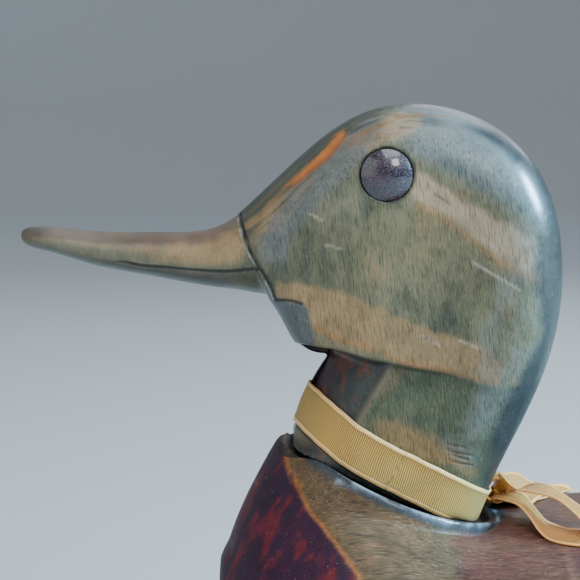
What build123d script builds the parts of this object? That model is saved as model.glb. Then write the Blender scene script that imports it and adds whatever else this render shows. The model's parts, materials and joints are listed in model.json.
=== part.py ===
from build123d import *
from math import copysign, cos, radians, sin
import os

# Floating duck decoy: a carved wooden head on a hollow two-part body, with a keel.
# Millimetres, +Z up, bill toward -Y, tail toward +Y, the duck's left side toward +X.
# The origin is under the middle of the decoy, on the bottom of its keel.
# Profiles are drawn as (u, v): u runs aft and v up from the centre of the neck seat.

os.makedirs("parts", exist_ok=True)

# ---- driving dimensions ----
SEAT_Y = -97.6              # centre of the neck seat, fore and aft
SEAT_Z = 100.6              # and its height
LEAN = 24.0                 # the seat tips forward by this much, degrees
SEAT_R = 25.0               # round seat that the neck turns on
SEAT_SWEEP = 1.0            # room round the neck for it to turn
NECK_GAP = 1.0              # thickness of the leather washer under the neck
NECK_LONG = 44.0            # neck, fore and aft, where it meets the seat
HEAD_T = 40.0               # thickness of the plank that the head is sawn from

KEEL_H = 24.0               # the hull's flat bottom stands this high
KEEL_W = 24.0
SEAM_Z = 50.0               # where the hull's two halves meet
SEAM_T = 0.4                # caulk between them
FLOOR_T = 12.0              # wood under the hollow

EYE_U = 0.2                 # eye centre, from the seat centre
EYE_V = 69.9
EYE_R = 5.5
EYE_PROUD = 1.6             # how far the glass stands out of the cheek
SOCKET_R = 5.6
SOCKET_DEPTH = 6.0

BOLT_R = 4.0
BOLT_IN_NECK = 45.0         # along the swivel axis, above the seat
BOLT_BELOW = 38.0           # and below it
SEAT_WOOD = 20.0            # wood that the bolt passes through under the seat
POCKET_R = 11.0
POCKET_DEPTH = 42.0
RUNNING = 0.05              # clearance of the bolt in the hull
WASHER_T = 1.5
SPRING_L = 8.0
NUT_T = 6.5
NUT_AF = 13.0

SCREW_R = 2.0
SCREW_HEAD_R = 4.0
SCREW_HEAD_H = 2.5
SCREW_U = (2.0, 158.0)
SCREW_X = 28.0
SCREW_SUNK = 6.0            # the closing screws' heads lie this deep in the bottom
SCREW_TOP = 66.0

LINE_HOLE_R = 3.0           # holes through the keel for an anchor line
LINE_HOLE_Z = 10.0
LINE_HOLE_U = (20.0, 136.0)
KEEL_SCREW_U = (33.0, 123.0)
BALLAST_U = (45.0, 115.0)
BALLAST_W = 14.0
BALLAST_H = 10.0
BALLAST_SUNK = 0.5

LINE_EYE_U = -2.0
LINE_EYE_Z = 18.0
LINE_EYE_R = 3.2            # to the middle of the wire
LINE_EYE_WIRE = 0.9
RING_R = 6.0
RING_WIRE = 1.0
RING_Z = 17.1               # middle of the ring's wire where it hangs in the eye

RIBBON_W = 9.0
BAND_TILT = 30.7            # the band lies a little steeper than the seat
BAND_T = 0.6
BAND_GAP = 0.35
BAND_LOW = 3.0              # lower edge of the band, from the seat centre, square to the band

# ---- frames ----
lean_s = sin(radians(LEAN))
lean_c = cos(radians(LEAN))
side = Plane(origin=(0, SEAT_Y, SEAT_Z), x_dir=(0, 1, 0), z_dir=(1, 0, 0))
swivel = Plane(origin=(0, SEAT_Y, SEAT_Z), x_dir=(1, 0, 0), z_dir=(0, lean_s, lean_c))


def station(u, z=0.0):
    """A level drawing plane's origin at u, on the middle line."""
    return (0, SEAT_Y + u, z)


# ---- head: bill, cheeks, crown and neck in one piece of wood ----
half_neck = NECK_LONG / 2
neck_rear = (lean_s * NECK_GAP + lean_c * half_neck, lean_c * NECK_GAP - lean_s * half_neck)
neck_front = (lean_s * NECK_GAP - lean_c * half_neck, lean_c * NECK_GAP + lean_s * half_neck)
FOREHEAD = (-31.8, 60.6)
CREST = [
    FOREHEAD,
    (-18.1, 73.1),
    (-1.3, 83.7),
    (15.5, 83.7),
    (32.3, 72.9),
    (39.4, 51.2),
    (36.3, 27.7),
    (27.8, 8.6),
]
THROAT = [(-17.5, 18.3), (-11.4, 29.2)]
CHIN = [(-11.4, 29.2), (-18.4, 31.7), (-22.4, 38.2), (-24.9, 41.8)]

# Seen from above, the cheeks close in toward the bill: half width at u behind the bill root.
BROW_U, BROW_HALF = -20.0, 15.6
ROOT_U, ROOT_HALF = -34.0, 10.2

# The bill as upright ovals: u, top, bottom, half width.
BILL = [
    (-24.0, 60.0, 42.5, 10.5),
    (-32.0, 60.2, 43.4, 10.2),
    (-39.4, 56.8, 44.4, 9.0),
    (-47.3, 56.3, 45.8, 8.3),
    (-56.2, 56.3, 47.4, 8.0),
    (-67.4, 56.8, 50.0, 7.6),
    (-75.3, 57.5, 52.3, 6.2),
    (-78.5, 57.4, 53.2, 4.4),
    (-80.3, 56.4, 55.0, 1.6),
]

CROWN_FILLET = 13.0
CROWN_EDGE_LONG = 40.0      # the crown's edges are longer than this, and further out than CROWN_EDGE_X
CROWN_EDGE_X = 10.0
CHIN_FILLET = 7.0
CHIN_EDGES = [(15.7, -117.3, 133.9), (16.8, -114.4, 120.7)]     # middles of the chin's two edges
NAPE_Y = SEAT_Y + 60.0      # behind the whole head
ROOT_SLANT = 0.35           # how fast the cheeks close in at the bill root
TALL = 300.0                # higher than the whole decoy


def near(edges, points, reach=2.5):
    """The edges whose centres lie by one of the points, on either side of the middle plane."""
    found = []
    for edge in edges:
        here = edge.center()
        for x, y, z in points:
            if abs(abs(here.X) - x) < reach and abs(here.Y - y) < reach and abs(here.Z - z) < reach:
                found.append(edge)
    return found


with BuildPart() as head:
    with BuildSketch(side):
        with BuildLine():
            Spline(*CREST, neck_rear)
            Line(neck_rear, neck_front)
            Spline(neck_front, *THROAT)
            Spline(*CHIN)
            Line(CHIN[-1], FOREHEAD)
        make_face()
    extrude(amount=HEAD_T / 2, both=True)
    with BuildSketch(Plane.XY):
        cheek = HEAD_T / 2
        brow_y = SEAT_Y + BROW_U
        root_y = SEAT_Y + ROOT_U
        with BuildLine():
            Polyline((-cheek, SEAT_Y), (-cheek, NAPE_Y), (cheek, NAPE_Y), (cheek, SEAT_Y))
            Spline(
                (cheek, SEAT_Y),
                (BROW_HALF, brow_y),
                (ROOT_HALF, root_y),
                tangents=[(0, -1), (-ROOT_SLANT, -1)],
            )
            Line((ROOT_HALF, root_y), (-ROOT_HALF, root_y))
            Spline(
                (-ROOT_HALF, root_y),
                (-BROW_HALF, brow_y),
                (-cheek, SEAT_Y),
                tangents=[(-ROOT_SLANT, 1), (0, 1)],
            )
        make_face()
    extrude(amount=TALL, mode=Mode.INTERSECT)
    outline_edges = head.edges().filter_by(GeomType.BSPLINE)
    crown = [e for e in outline_edges if abs(e.center().X) > CROWN_EDGE_X and e.length > CROWN_EDGE_LONG]
    fillet(crown, radius=CROWN_FILLET)
    fillet(near(head.edges(), CHIN_EDGES), radius=CHIN_FILLET)
    for u, top, bottom, half in BILL:
        middle = station(u, SEAT_Z + (top + bottom) / 2)
        with BuildSketch(Plane(origin=middle, x_dir=(1, 0, 0), z_dir=(0, -1, 0))):
            Ellipse(half, (top - bottom) / 2)
    loft()
    for flank in (1, -1):
        socket = (flank * HEAD_T / 2, SEAT_Y + EYE_U, SEAT_Z + EYE_V)
        with BuildSketch(Plane(origin=socket, z_dir=(flank, 0, 0))):
            Circle(SOCKET_R)
        extrude(amount=-SOCKET_DEPTH, mode=Mode.SUBTRACT)
    with BuildSketch(swivel):
        Circle(BOLT_R)
    extrude(amount=BOLT_IN_NECK, mode=Mode.SUBTRACT)
head.part.label = "head"
export_step(head.part, "parts/head.step")


# ---- hull: one carved form, hollowed, then sawn into two halves at the seam ----
# u, half width, top, bottom and height of the widest line; the bottom is planed flat at KEEL_H.
HULL = [
    (-36.0, 7.0, 81.0, 68.0, 75.0),
    (-33.8, 21.0, 86.5, 55.0, 74.5),
    (-29.0, 34.0, 89.5, 43.5, 73.5),
    (-21.5, 45.5, 91.2, 32.0, 72.0),
    (-12.0, 52.8, 92.0, 24.5, 70.0),
    (0.0, 57.5, 92.2, 20.5, 67.5),
    (15.0, 61.5, 92.5, 20.0, 65.5),
    (33.0, 66.0, 93.3, 20.0, 63.5),
    (55.0, 70.0, 94.3, 20.0, 61.5),
    (80.0, 72.3, 95.0, 20.0, 60.5),
    (105.0, 72.0, 94.8, 20.0, 60.0),
    (130.0, 69.7, 94.0, 20.0, 60.0),
    (155.0, 65.3, 92.0, 22.5, 60.5),
    (180.0, 57.5, 89.0, 30.5, 62.5),
    (203.0, 47.0, 85.8, 42.0, 65.0),
    (224.0, 37.0, 82.8, 54.0, 68.5),
    (243.0, 28.0, 81.0, 65.0, 72.5),
    (260.0, 19.5, 81.0, 72.5, 76.5),
    (271.0, 12.0, 82.0, 77.0, 79.5),
    (275.6, 7.0, 82.8, 79.4, 81.0),
]
ABOVE_POWER = 2.1           # roundness of the sections above and below the widest line
BELOW_POWER = 2.6
SECTION_POINTS = 20

# The hump that carries the neck: u of the middle, half width, half length, height.
HUMP = [(12.0, 54.0, 47.0, 72.0), (2.5, 42.0, 37.0, 86.0)]

# The hollow: half length, half width, height, all about HOLLOW_U.
HOLLOW_U = 80.0
HOLLOW = [(80.0, 40.0, KEEL_H + FLOOR_T), (90.0, 44.0, SEAM_Z), (80.0, 36.0, 80.0)]


def hull_section(half, top, bottom, widest):
    """Points of one hull section, as (across, height), starting at the left side."""
    points = []
    for k in range(SECTION_POINTS):
        turn = radians(360 / SECTION_POINTS * k)
        across, up = cos(turn), sin(turn)
        power = 2 / (ABOVE_POWER if up > 0 else BELOW_POWER)
        rise = top - widest if up > 0 else widest - bottom
        x = half * copysign(abs(across) ** power, across)
        z = widest + rise * copysign(abs(up) ** power, up)
        points.append((x, z))
    return points


def across_plane(u):
    """An upright drawing plane across the hull, (x, z), facing the bill."""
    return Plane(origin=station(u), x_dir=(1, 0, 0), z_dir=(0, -1, 0))


with BuildPart() as hull:
    for u, half, top, bottom, widest in HULL:
        with BuildSketch(across_plane(u)):
            with BuildLine():
                Spline(*hull_section(half, top, bottom, widest), periodic=True)
            make_face()
    loft()
    split(bisect_by=Plane.XY.offset(KEEL_H), keep=Keep.TOP)
    for u, half, long, height in HUMP:
        with BuildSketch(Plane(origin=station(u, height), x_dir=(1, 0, 0), z_dir=(0, 0, 1))):
            Ellipse(half, long)
    with BuildSketch(swivel):
        Circle(SEAT_R)
    loft()
    with BuildSketch(swivel):
        Circle(SEAT_R + SEAT_SWEEP)
    extrude(amount=SEAT_R, mode=Mode.SUBTRACT)
    for half_long, half_wide, height in HOLLOW:
        with BuildSketch(Plane(origin=station(HOLLOW_U, height), x_dir=(0, 1, 0), z_dir=(0, 0, 1))):
            Ellipse(half_long, half_wide)
    loft(mode=Mode.SUBTRACT)
    with BuildSketch(swivel):
        Circle(BOLT_R + RUNNING)
    extrude(amount=-SEAT_WOOD, mode=Mode.SUBTRACT)
    with BuildSketch(swivel.offset(-SEAT_WOOD)):
        Circle(POCKET_R)
    extrude(amount=SEAT_WOOD - POCKET_DEPTH, mode=Mode.SUBTRACT)

screw_places = [(x, SEAT_Y + u) for u in SCREW_U for x in (-SCREW_X, SCREW_X)]
DOWEL_R = 3.0
DOWEL_HALF = 8.0            # each dowel reaches this far into both halves
DOWEL_U = (-24.0, 190.0)
dowel_places = [(0, SEAT_Y + u) for u in DOWEL_U]


def rods(places, radius, low, high):
    """Upright round rods, one at each place, from one height to another."""
    with BuildPart(mode=Mode.PRIVATE) as group:
        with BuildSketch(Plane.XY.offset(low)):
            with Locations(*places):
                Circle(radius)
        extrude(amount=high - low)
    return group.part


SCREW_HEAD_RIM = 0.3        # straight part of a screw head, as a share of its height
SCREW_POINT_R = 0.3         # bluntness of a screw's point


def screw(bottom, top, shank_r, head_r, head_h):
    """One countersunk wood screw, standing head down on the Z axis."""
    with BuildPart(mode=Mode.PRIVATE) as one:
        with BuildSketch(Plane.XZ):
            with BuildLine():
                Polyline(
                    (0, bottom),
                    (head_r, bottom),
                    (head_r, bottom + head_h * SCREW_HEAD_RIM),
                    (shank_r, bottom + head_h),
                    (shank_r, top - 2 * shank_r),
                    (SCREW_POINT_R, top),
                    (0, top),
                    close=True,
                )
            make_face()
        revolve(axis=Axis.Z)
    return one.part


closing_screw = screw(KEEL_H + SCREW_SUNK, SCREW_TOP, SCREW_R, SCREW_HEAD_R, SCREW_HEAD_H)
with BuildPart() as body_screws:
    with Locations(*screw_places):
        add(closing_screw)
body_screws.part.label = "body_screws"
export_step(body_screws.part, "parts/body_screws.step")

with BuildPart() as locating_dowels:
    add(rods(dowel_places, DOWEL_R, SEAM_Z - DOWEL_HALF, SEAM_Z + DOWEL_HALF))
locating_dowels.part.label = "locating_dowels"
export_step(locating_dowels.part, "parts/locating_dowels.step")

with BuildPart() as body_upper:
    add(hull.part)
    split(bisect_by=Plane.XY.offset(SEAM_Z), keep=Keep.TOP)
    add(body_screws.part, mode=Mode.SUBTRACT)
    add(locating_dowels.part, mode=Mode.SUBTRACT)
body_upper.part.label = "body_upper"
export_step(body_upper.part, "parts/body_upper.step")

with BuildPart() as seam_seal:
    with BuildSketch(Plane.XY.offset(SEAM_Z - SEAM_T)):
        Rectangle(2 * HULL[-1][0], 2 * HULL[-1][0])
    extrude(amount=SEAM_T)
    add(hull.part, mode=Mode.INTERSECT)
    add(body_screws.part, mode=Mode.SUBTRACT)
    add(locating_dowels.part, mode=Mode.SUBTRACT)
seam_seal.part.label = "seam_seal"
export_step(seam_seal.part, "parts/seam_seal.step")

# ---- keel, ballast and their screws ----
KEEL_TOP_U = (5.0, 150.0)
KEEL_LOW_U = (14.0, 141.0)
KEEL_EDGE = 1.5
KEEL_SCREW_R = 2.5
KEEL_SCREW_HEAD_R = 4.5
KEEL_SCREW_SUNK = 4.0
KEEL_SCREW_TOP = 34.0
KEEL_SCREW_HEAD_H = 3.0
BALLAST_SCREW_IN = 7.0      # the ballast screws' distance from the ends of the iron
BALLAST_SCREW_U = (BALLAST_U[0] + BALLAST_SCREW_IN, BALLAST_U[1] - BALLAST_SCREW_IN)
BALLAST_SCREW_HEAD_R = 3.0
BALLAST_SCREW_HEAD_H = 2.0
BALLAST_CORNER = 3.0
BALLAST_SCREW_R = 1.6
BALLAST_SCREW_TOP = 20.0

keel_screw_places = [(0, SEAT_Y + u) for u in KEEL_SCREW_U]
keel_screw = screw(KEEL_SCREW_SUNK, KEEL_SCREW_TOP, KEEL_SCREW_R, KEEL_SCREW_HEAD_R, KEEL_SCREW_HEAD_H)
with BuildPart() as keel_screws:
    with Locations(*keel_screw_places):
        add(keel_screw)
keel_screws.part.label = "keel_screws"
export_step(keel_screws.part, "parts/keel_screws.step")

ballast_screw = screw(
    BALLAST_SUNK,
    BALLAST_SCREW_TOP,
    BALLAST_SCREW_R,
    BALLAST_SCREW_HEAD_R,
    BALLAST_SCREW_HEAD_H,
)
with BuildPart() as ballast_screws:
    with Locations(*[(0, SEAT_Y + u) for u in BALLAST_SCREW_U]):
        add(ballast_screw)
ballast_screws.part.label = "ballast_screws"
export_step(ballast_screws.part, "parts/ballast_screws.step")

ballast_mid = (0, SEAT_Y + sum(BALLAST_U) / 2, 0)
ballast_long = BALLAST_U[1] - BALLAST_U[0]
with BuildPart() as ballast_weight:
    with BuildSketch(Plane(origin=ballast_mid, z_dir=(0, 0, 1)).offset(BALLAST_SUNK)):
        RectangleRounded(BALLAST_W, ballast_long, BALLAST_CORNER)
    extrude(amount=BALLAST_H)
    add(ballast_screws.part, mode=Mode.SUBTRACT)
ballast_weight.part.label = "ballast_weight"
export_step(ballast_weight.part, "parts/ballast_weight.step")

with BuildPart() as keel:
    with BuildSketch(Plane(origin=(0, SEAT_Y, 0), x_dir=(0, 1, 0), z_dir=(1, 0, 0))):
        with BuildLine():
            Polyline(
                (KEEL_LOW_U[0], 0),
                (KEEL_LOW_U[1], 0),
                (KEEL_TOP_U[1], KEEL_H),
                (KEEL_TOP_U[0], KEEL_H),
                close=True,
            )
        make_face()
    extrude(amount=KEEL_W / 2, both=True)
    fillet(keel.edges().filter_by(Axis.Y).group_by(Axis.Z)[0], radius=KEEL_EDGE)
    with BuildSketch(Plane(origin=ballast_mid, z_dir=(0, 0, 1))):
        RectangleRounded(BALLAST_W, ballast_long, BALLAST_CORNER)
    extrude(amount=BALLAST_SUNK + BALLAST_H, mode=Mode.SUBTRACT)
    with BuildSketch(Plane(origin=(0, SEAT_Y, LINE_HOLE_Z), x_dir=(0, 1, 0), z_dir=(1, 0, 0))):
        with Locations(*[(u, 0) for u in LINE_HOLE_U]):
            Circle(LINE_HOLE_R)
    extrude(amount=KEEL_W, both=True, mode=Mode.SUBTRACT)
    add(rods(keel_screw_places, KEEL_SCREW_HEAD_R, 0, KEEL_SCREW_SUNK), mode=Mode.SUBTRACT)
    add(keel_screws.part, mode=Mode.SUBTRACT)
    add(ballast_screws.part, mode=Mode.SUBTRACT)
keel.part.label = "keel"
export_step(keel.part, "parts/keel.step")

# ---- screw eye and ring for the anchor line ----
EYE_SHANK_R = 1.2
EYE_SHANK_TOP = 34.0
eye_centre = (0, SEAT_Y + LINE_EYE_U, LINE_EYE_Z)
with BuildPart() as line_eye:
    with BuildSketch(Plane(origin=eye_centre, x_dir=(1, 0, 0), z_dir=(0, -1, 0))):
        with Locations((0, LINE_EYE_R)):
            Circle(LINE_EYE_WIRE)
    revolve(axis=Axis(eye_centre, (1, 0, 0)))
    with BuildSketch(Plane(origin=(0, SEAT_Y + LINE_EYE_U, LINE_EYE_Z + LINE_EYE_R), z_dir=(0, 0, 1))):
        Circle(EYE_SHANK_R)
    extrude(amount=EYE_SHANK_TOP - LINE_EYE_Z - LINE_EYE_R)
line_eye.part.label = "line_eye"
export_step(line_eye.part, "parts/line_eye.step")

ring_centre = (0, SEAT_Y + LINE_EYE_U, RING_Z - RING_R)
with BuildPart() as line_ring:
    with BuildSketch(Plane(origin=ring_centre, x_dir=(0, 1, 0), z_dir=(1, 0, 0))):
        with Locations((0, RING_R)):
            Circle(RING_WIRE)
    revolve(axis=Axis(ring_centre, (0, 1, 0)))
line_ring.part.label = "line_ring"
export_step(line_ring.part, "parts/line_ring.step")

with BuildPart() as body_lower:
    add(hull.part)
    split(bisect_by=Plane.XY.offset(SEAM_Z - SEAM_T), keep=Keep.BOTTOM)
    add(rods(screw_places, SCREW_HEAD_R, KEEL_H, KEEL_H + SCREW_SUNK), mode=Mode.SUBTRACT)
    add(body_screws.part, mode=Mode.SUBTRACT)
    add(locating_dowels.part, mode=Mode.SUBTRACT)
    add(keel_screws.part, mode=Mode.SUBTRACT)
    add(line_eye.part, mode=Mode.SUBTRACT)
body_lower.part.label = "body_lower"
export_step(body_lower.part, "parts/body_lower.step")

# ---- swivel hardware, stacked along the swivel axis ----
WASHER_R = 9.5
SEAT_WASHER_R = 16.0
BORE_R = BOLT_R + RUNNING
COIL_R = 6.0
COIL_WIRE = 0.7
COIL_TURNS = 3.5
BOLT_CHAMFER = 0.8


def disc(level, outer, inner, thickness):
    """A flat ring on the swivel axis, with its top face at that level from the seat."""
    with BuildPart(mode=Mode.PRIVATE) as ring:
        with BuildSketch(swivel.offset(level)):
            Circle(outer)
            Circle(inner, mode=Mode.SUBTRACT)
        extrude(amount=-thickness)
    return ring.part


with BuildPart() as seat_washer:
    add(disc(NECK_GAP, SEAT_WASHER_R, BORE_R, NECK_GAP))
seat_washer.part.label = "seat_washer"
export_step(seat_washer.part, "parts/seat_washer.step")

with BuildPart() as neck_bolt:
    with BuildSketch(swivel.offset(-BOLT_BELOW)):
        Circle(BOLT_R)
    extrude(amount=BOLT_BELOW + BOLT_IN_NECK)
    chamfer(neck_bolt.edges().filter_by(GeomType.CIRCLE), length=BOLT_CHAMFER)
neck_bolt.part.label = "neck_bolt"
export_step(neck_bolt.part, "parts/neck_bolt.step")

with BuildPart() as thrust_washer:
    add(disc(-SEAT_WOOD, WASHER_R, BORE_R, WASHER_T))
thrust_washer.part.label = "thrust_washer"
export_step(thrust_washer.part, "parts/thrust_washer.step")

coil_top = -SEAT_WOOD - WASHER_T
coil_rise = SPRING_L - 2 * COIL_WIRE
coil_path = Helix(pitch=coil_rise / COIL_TURNS, height=coil_rise, radius=COIL_R)
coil_path = swivel.offset(coil_top - SPRING_L + COIL_WIRE) * coil_path
with BuildPart() as tension_spring:
    with BuildSketch(Plane(origin=coil_path @ 0, z_dir=coil_path % 0)):
        Circle(COIL_WIRE)
    sweep(path=coil_path)
tension_spring.part.label = "tension_spring"
export_step(tension_spring.part, "parts/tension_spring.step")

with BuildPart() as lock_nut:
    with BuildSketch(swivel.offset(coil_top - SPRING_L)):
        RegularPolygon(NUT_AF / 2, 6, major_radius=False)
        Circle(BOLT_R, mode=Mode.SUBTRACT)
    extrude(amount=-NUT_T)
lock_nut.part.label = "lock_nut"
export_step(lock_nut.part, "parts/lock_nut.step")

# ---- glass eyes, each bedded in its socket ----
EYE_RIM = 0.8               # straight side of the glass below its dome
EYE_SUNK = 1.0              # the glass's flat back, below the cheek
dome_h = EYE_PROUD + EYE_SUNK - EYE_RIM
dome_r = (EYE_R ** 2 + dome_h ** 2) / (2 * dome_h)
eye_back = HEAD_T / 2 - EYE_SUNK
eye_top = eye_back + EYE_RIM + dome_h
eye_axis = (0, SEAT_Y + EYE_U, SEAT_Z + EYE_V)

with BuildPart() as eye_left:
    with BuildSketch(Plane(origin=eye_axis, z_dir=(0, 0, 1))):
        with BuildLine():
            Polyline((eye_top, 0), (eye_back, 0), (eye_back, EYE_R), (eye_back + EYE_RIM, EYE_R))
            RadiusArc((eye_back + EYE_RIM, EYE_R), (eye_top, 0), dome_r)
        make_face()
    revolve(axis=Axis(eye_axis, (1, 0, 0)))
eye_left.part.label = "eye_left"
export_step(eye_left.part, "parts/eye_left.step")

with BuildPart() as eye_right:
    add(mirror(eye_left.part, about=Plane.YZ, mode=Mode.PRIVATE))
eye_right.part.label = "eye_right"
export_step(eye_right.part, "parts/eye_right.step")

with BuildPart() as eye_bed_left:
    with BuildSketch(Plane(origin=eye_axis, z_dir=(1, 0, 0)).offset(HEAD_T / 2 - SOCKET_DEPTH)):
        Circle(SOCKET_R)
    extrude(amount=SOCKET_DEPTH - EYE_SUNK)
eye_bed_left.part.label = "eye_bed_left"
export_step(eye_bed_left.part, "parts/eye_bed_left.step")

with BuildPart() as eye_bed_right:
    add(mirror(eye_bed_left.part, about=Plane.YZ, mode=Mode.PRIVATE))
eye_bed_right.part.label = "eye_bed_right"
export_step(eye_bed_right.part, "parts/eye_bed_right.step")

# ---- ribbon tied round the neck: band, knot, two loops and two tails of one strip ----
NAPE_CORNER = 13.0          # roundness of the neck's corners inside the band
THROAT_CORNER = 7.0
BAND_LONG = 45.6            # the neck inside the band, fore and aft
BAND_SHIFT = -0.8
tilt_s = sin(radians(BAND_TILT))
tilt_c = cos(radians(BAND_TILT))
tilt = Plane(origin=(0, SEAT_Y, SEAT_Z), x_dir=(1, 0, 0), z_dir=(0, tilt_s, tilt_c))

KNOT_SIZE = (8.0, 4.6, 7.0)     # across, out from the nape, along the neck
KNOT_X = -4.0
KNOT_UP = 7.8
LOOP_W = 7.0                # the loops' strip is drawn a little narrower than the ribbon
LOOP_T = 1.0
LOOP_L = 42.0
LOOP_BELLY = 5.5            # half height of a loop at its widest
LOOP_NECK = 2.6             # and where it narrows toward the knot
LOOP_STATIONS = (0.35, 0.75)    # where those two are, as shares of the loop's length
KNOT_CORNER = 1.8
KNOT_FILLET = 1.0
BAND_REACH = 40.0           # the band is cut from a ring this tall
TAIL_T = 0.8


def neck_outline(grow):
    """The neck's outline inside the band, grown evenly by that much, for a sketch on the swivel plane."""
    with BuildSketch(mode=Mode.PRIVATE) as outline:
        with Locations((0, BAND_SHIFT)):
            Rectangle(HEAD_T + 2 * grow, BAND_LONG + 2 * grow)
        fillet(outline.vertices().group_by(Axis.Y)[-1], radius=NAPE_CORNER + grow)
        fillet(outline.vertices().group_by(Axis.Y)[0], radius=THROAT_CORNER + grow)
    return outline.sketch


def teardrop(grow):
    """A bow loop seen from its open side: narrow at the knot, round at its far end."""
    neck_at = LOOP_L * LOOP_STATIONS[0]
    belly_at = LOOP_L * LOOP_STATIONS[1]
    with BuildSketch(mode=Mode.PRIVATE) as outline:
        with BuildLine():
            Spline(
                (-grow, 0),
                (neck_at, LOOP_NECK + grow),
                (belly_at, LOOP_BELLY + grow),
                (LOOP_L + grow, 0),
                (belly_at, -LOOP_BELLY - grow),
                (neck_at, -LOOP_NECK - grow),
                periodic=True,
            )
        make_face()
    return outline.sketch


def beside(start, toward):
    """A drawing plane from start, as (x, u, v), whose x runs in a direction and whose y stands up."""
    run = Vector(*toward).normalized()
    across = run.cross(Vector(0, 0, 1)).normalized()
    return Plane(origin=(start[0], SEAT_Y + start[1], SEAT_Z + start[2]), x_dir=run, z_dir=across)


with BuildPart() as ribbon_band:
    with BuildSketch(swivel):
        add(neck_outline(BAND_GAP + BAND_T))
        add(neck_outline(BAND_GAP), mode=Mode.SUBTRACT)
    extrude(amount=BAND_REACH)
    split(bisect_by=tilt.offset(BAND_LOW), keep=Keep.TOP)
    split(bisect_by=tilt.offset(BAND_LOW + RIBBON_W), keep=Keep.BOTTOM)
ribbon_band.part.label = "ribbon_band"
export_step(ribbon_band.part, "parts/ribbon_band.step")

nape_out = BAND_LONG / 2 + BAND_SHIFT + BAND_GAP + BAND_T
with BuildPart() as ribbon_knot:
    with BuildSketch(swivel.offset(KNOT_UP - KNOT_SIZE[2] / 2)):
        with Locations((KNOT_X, nape_out + KNOT_SIZE[1] / 2)):
            RectangleRounded(KNOT_SIZE[0], KNOT_SIZE[1], KNOT_CORNER)
    extrude(amount=KNOT_SIZE[2])
    fillet(ribbon_knot.edges().group_by(Axis.Z)[-1], radius=KNOT_FILLET)
ribbon_knot.part.label = "ribbon_knot"
export_step(ribbon_knot.part, "parts/ribbon_knot.step")

# Each loop starts beside the knot, as (x, u, v), and runs out over that side of the back.
LOOPS = [
    ((2.0, 30.5, 1.5), (0.90, 0.36, -0.10)),
    ((-10.0, 30.5, 1.5), (-0.90, 0.36, -0.10)),
]
with BuildPart() as ribbon_loops:
    for start, toward in LOOPS:
        with BuildSketch(beside(start, toward)):
            add(teardrop(LOOP_T))
            add(teardrop(0), mode=Mode.SUBTRACT)
    extrude(amount=LOOP_W / 2, both=True)
ribbon_loops.part.label = "ribbon_loops"
export_step(ribbon_loops.part, "parts/ribbon_loops.step")

TAILS = [
    ((-6.0, 31.0, -5.6), (-0.80, 0.60, -0.06), 34.0),
    ((-8.0, 27.5, -4.2), (-0.97, 0.10, -0.10), 30.0),
]
with BuildPart() as ribbon_tails:
    for start, toward, length in TAILS:
        with BuildSketch(beside(start, toward)):
            with Locations((length / 2, 0)):
                Rectangle(length, TAIL_T)
    extrude(amount=LOOP_W / 2, both=True)
ribbon_tails.part.label = "ribbon_tails"
export_step(ribbon_tails.part, "parts/ribbon_tails.step")
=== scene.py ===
import json
from math import cos, pi, radians, sin

import bmesh
import bpy
import numpy as np
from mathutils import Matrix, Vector
from mathutils.bvhtree import BVHTree

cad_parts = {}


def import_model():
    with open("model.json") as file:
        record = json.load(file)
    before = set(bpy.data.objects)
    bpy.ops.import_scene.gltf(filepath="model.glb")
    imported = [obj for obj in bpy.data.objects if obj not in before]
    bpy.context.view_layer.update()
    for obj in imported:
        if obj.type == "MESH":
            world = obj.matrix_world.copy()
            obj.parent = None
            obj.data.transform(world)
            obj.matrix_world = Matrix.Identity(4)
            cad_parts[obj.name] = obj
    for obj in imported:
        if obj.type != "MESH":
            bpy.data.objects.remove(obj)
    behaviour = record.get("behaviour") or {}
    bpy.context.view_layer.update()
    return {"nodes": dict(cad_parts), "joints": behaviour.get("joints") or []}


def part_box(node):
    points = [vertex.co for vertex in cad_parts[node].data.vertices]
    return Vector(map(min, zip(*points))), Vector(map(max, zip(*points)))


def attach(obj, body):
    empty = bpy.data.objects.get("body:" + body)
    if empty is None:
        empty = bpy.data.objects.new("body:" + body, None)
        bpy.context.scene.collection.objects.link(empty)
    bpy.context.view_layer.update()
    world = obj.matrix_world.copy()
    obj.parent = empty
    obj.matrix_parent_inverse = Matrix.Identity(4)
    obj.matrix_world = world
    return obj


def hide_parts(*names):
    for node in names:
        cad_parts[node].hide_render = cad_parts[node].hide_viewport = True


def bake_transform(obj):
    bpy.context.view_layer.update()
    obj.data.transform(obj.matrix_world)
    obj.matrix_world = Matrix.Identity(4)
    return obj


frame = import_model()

# The decoy's looks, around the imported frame. Metres, bill toward -Y, the duck's left side toward +X.
# Painted features are placed in millimetres as (u, v): u runs aft and v up from the neck seat's centre.

MM = 0.001
SWIVEL = next(j for j in frame["joints"] if j["name"] == "head_swivel")
SEAT = Vector(SWIVEL["pos_m"])
ORIGIN = np.array(SEAT)
AXIS = np.array(Vector(SWIVEL["axis"]).normalized())
LEAN = radians(24)  # the swivel axis leans aft by this much
scene = bpy.context.scene


# ---------------------------------------------------------------- camera, light and floor

def place_camera():
    aim = SEAT + Vector((0, -20.4, 43.3)) * MM
    elevation, distance, width = radians(6), 0.42, 0.13
    data = bpy.data.cameras.new("camera")
    data.angle = 2 * np.arctan(width / 2 / distance)
    data.clip_start = 0.01
    camera = bpy.data.objects.new("camera", data)
    scene.collection.objects.link(camera)
    camera.location = aim + Vector((cos(elevation), 0, sin(elevation))) * distance
    camera.rotation_euler = (camera.location - aim).to_track_quat("Z", "Y").to_euler()
    scene.camera = camera


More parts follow.
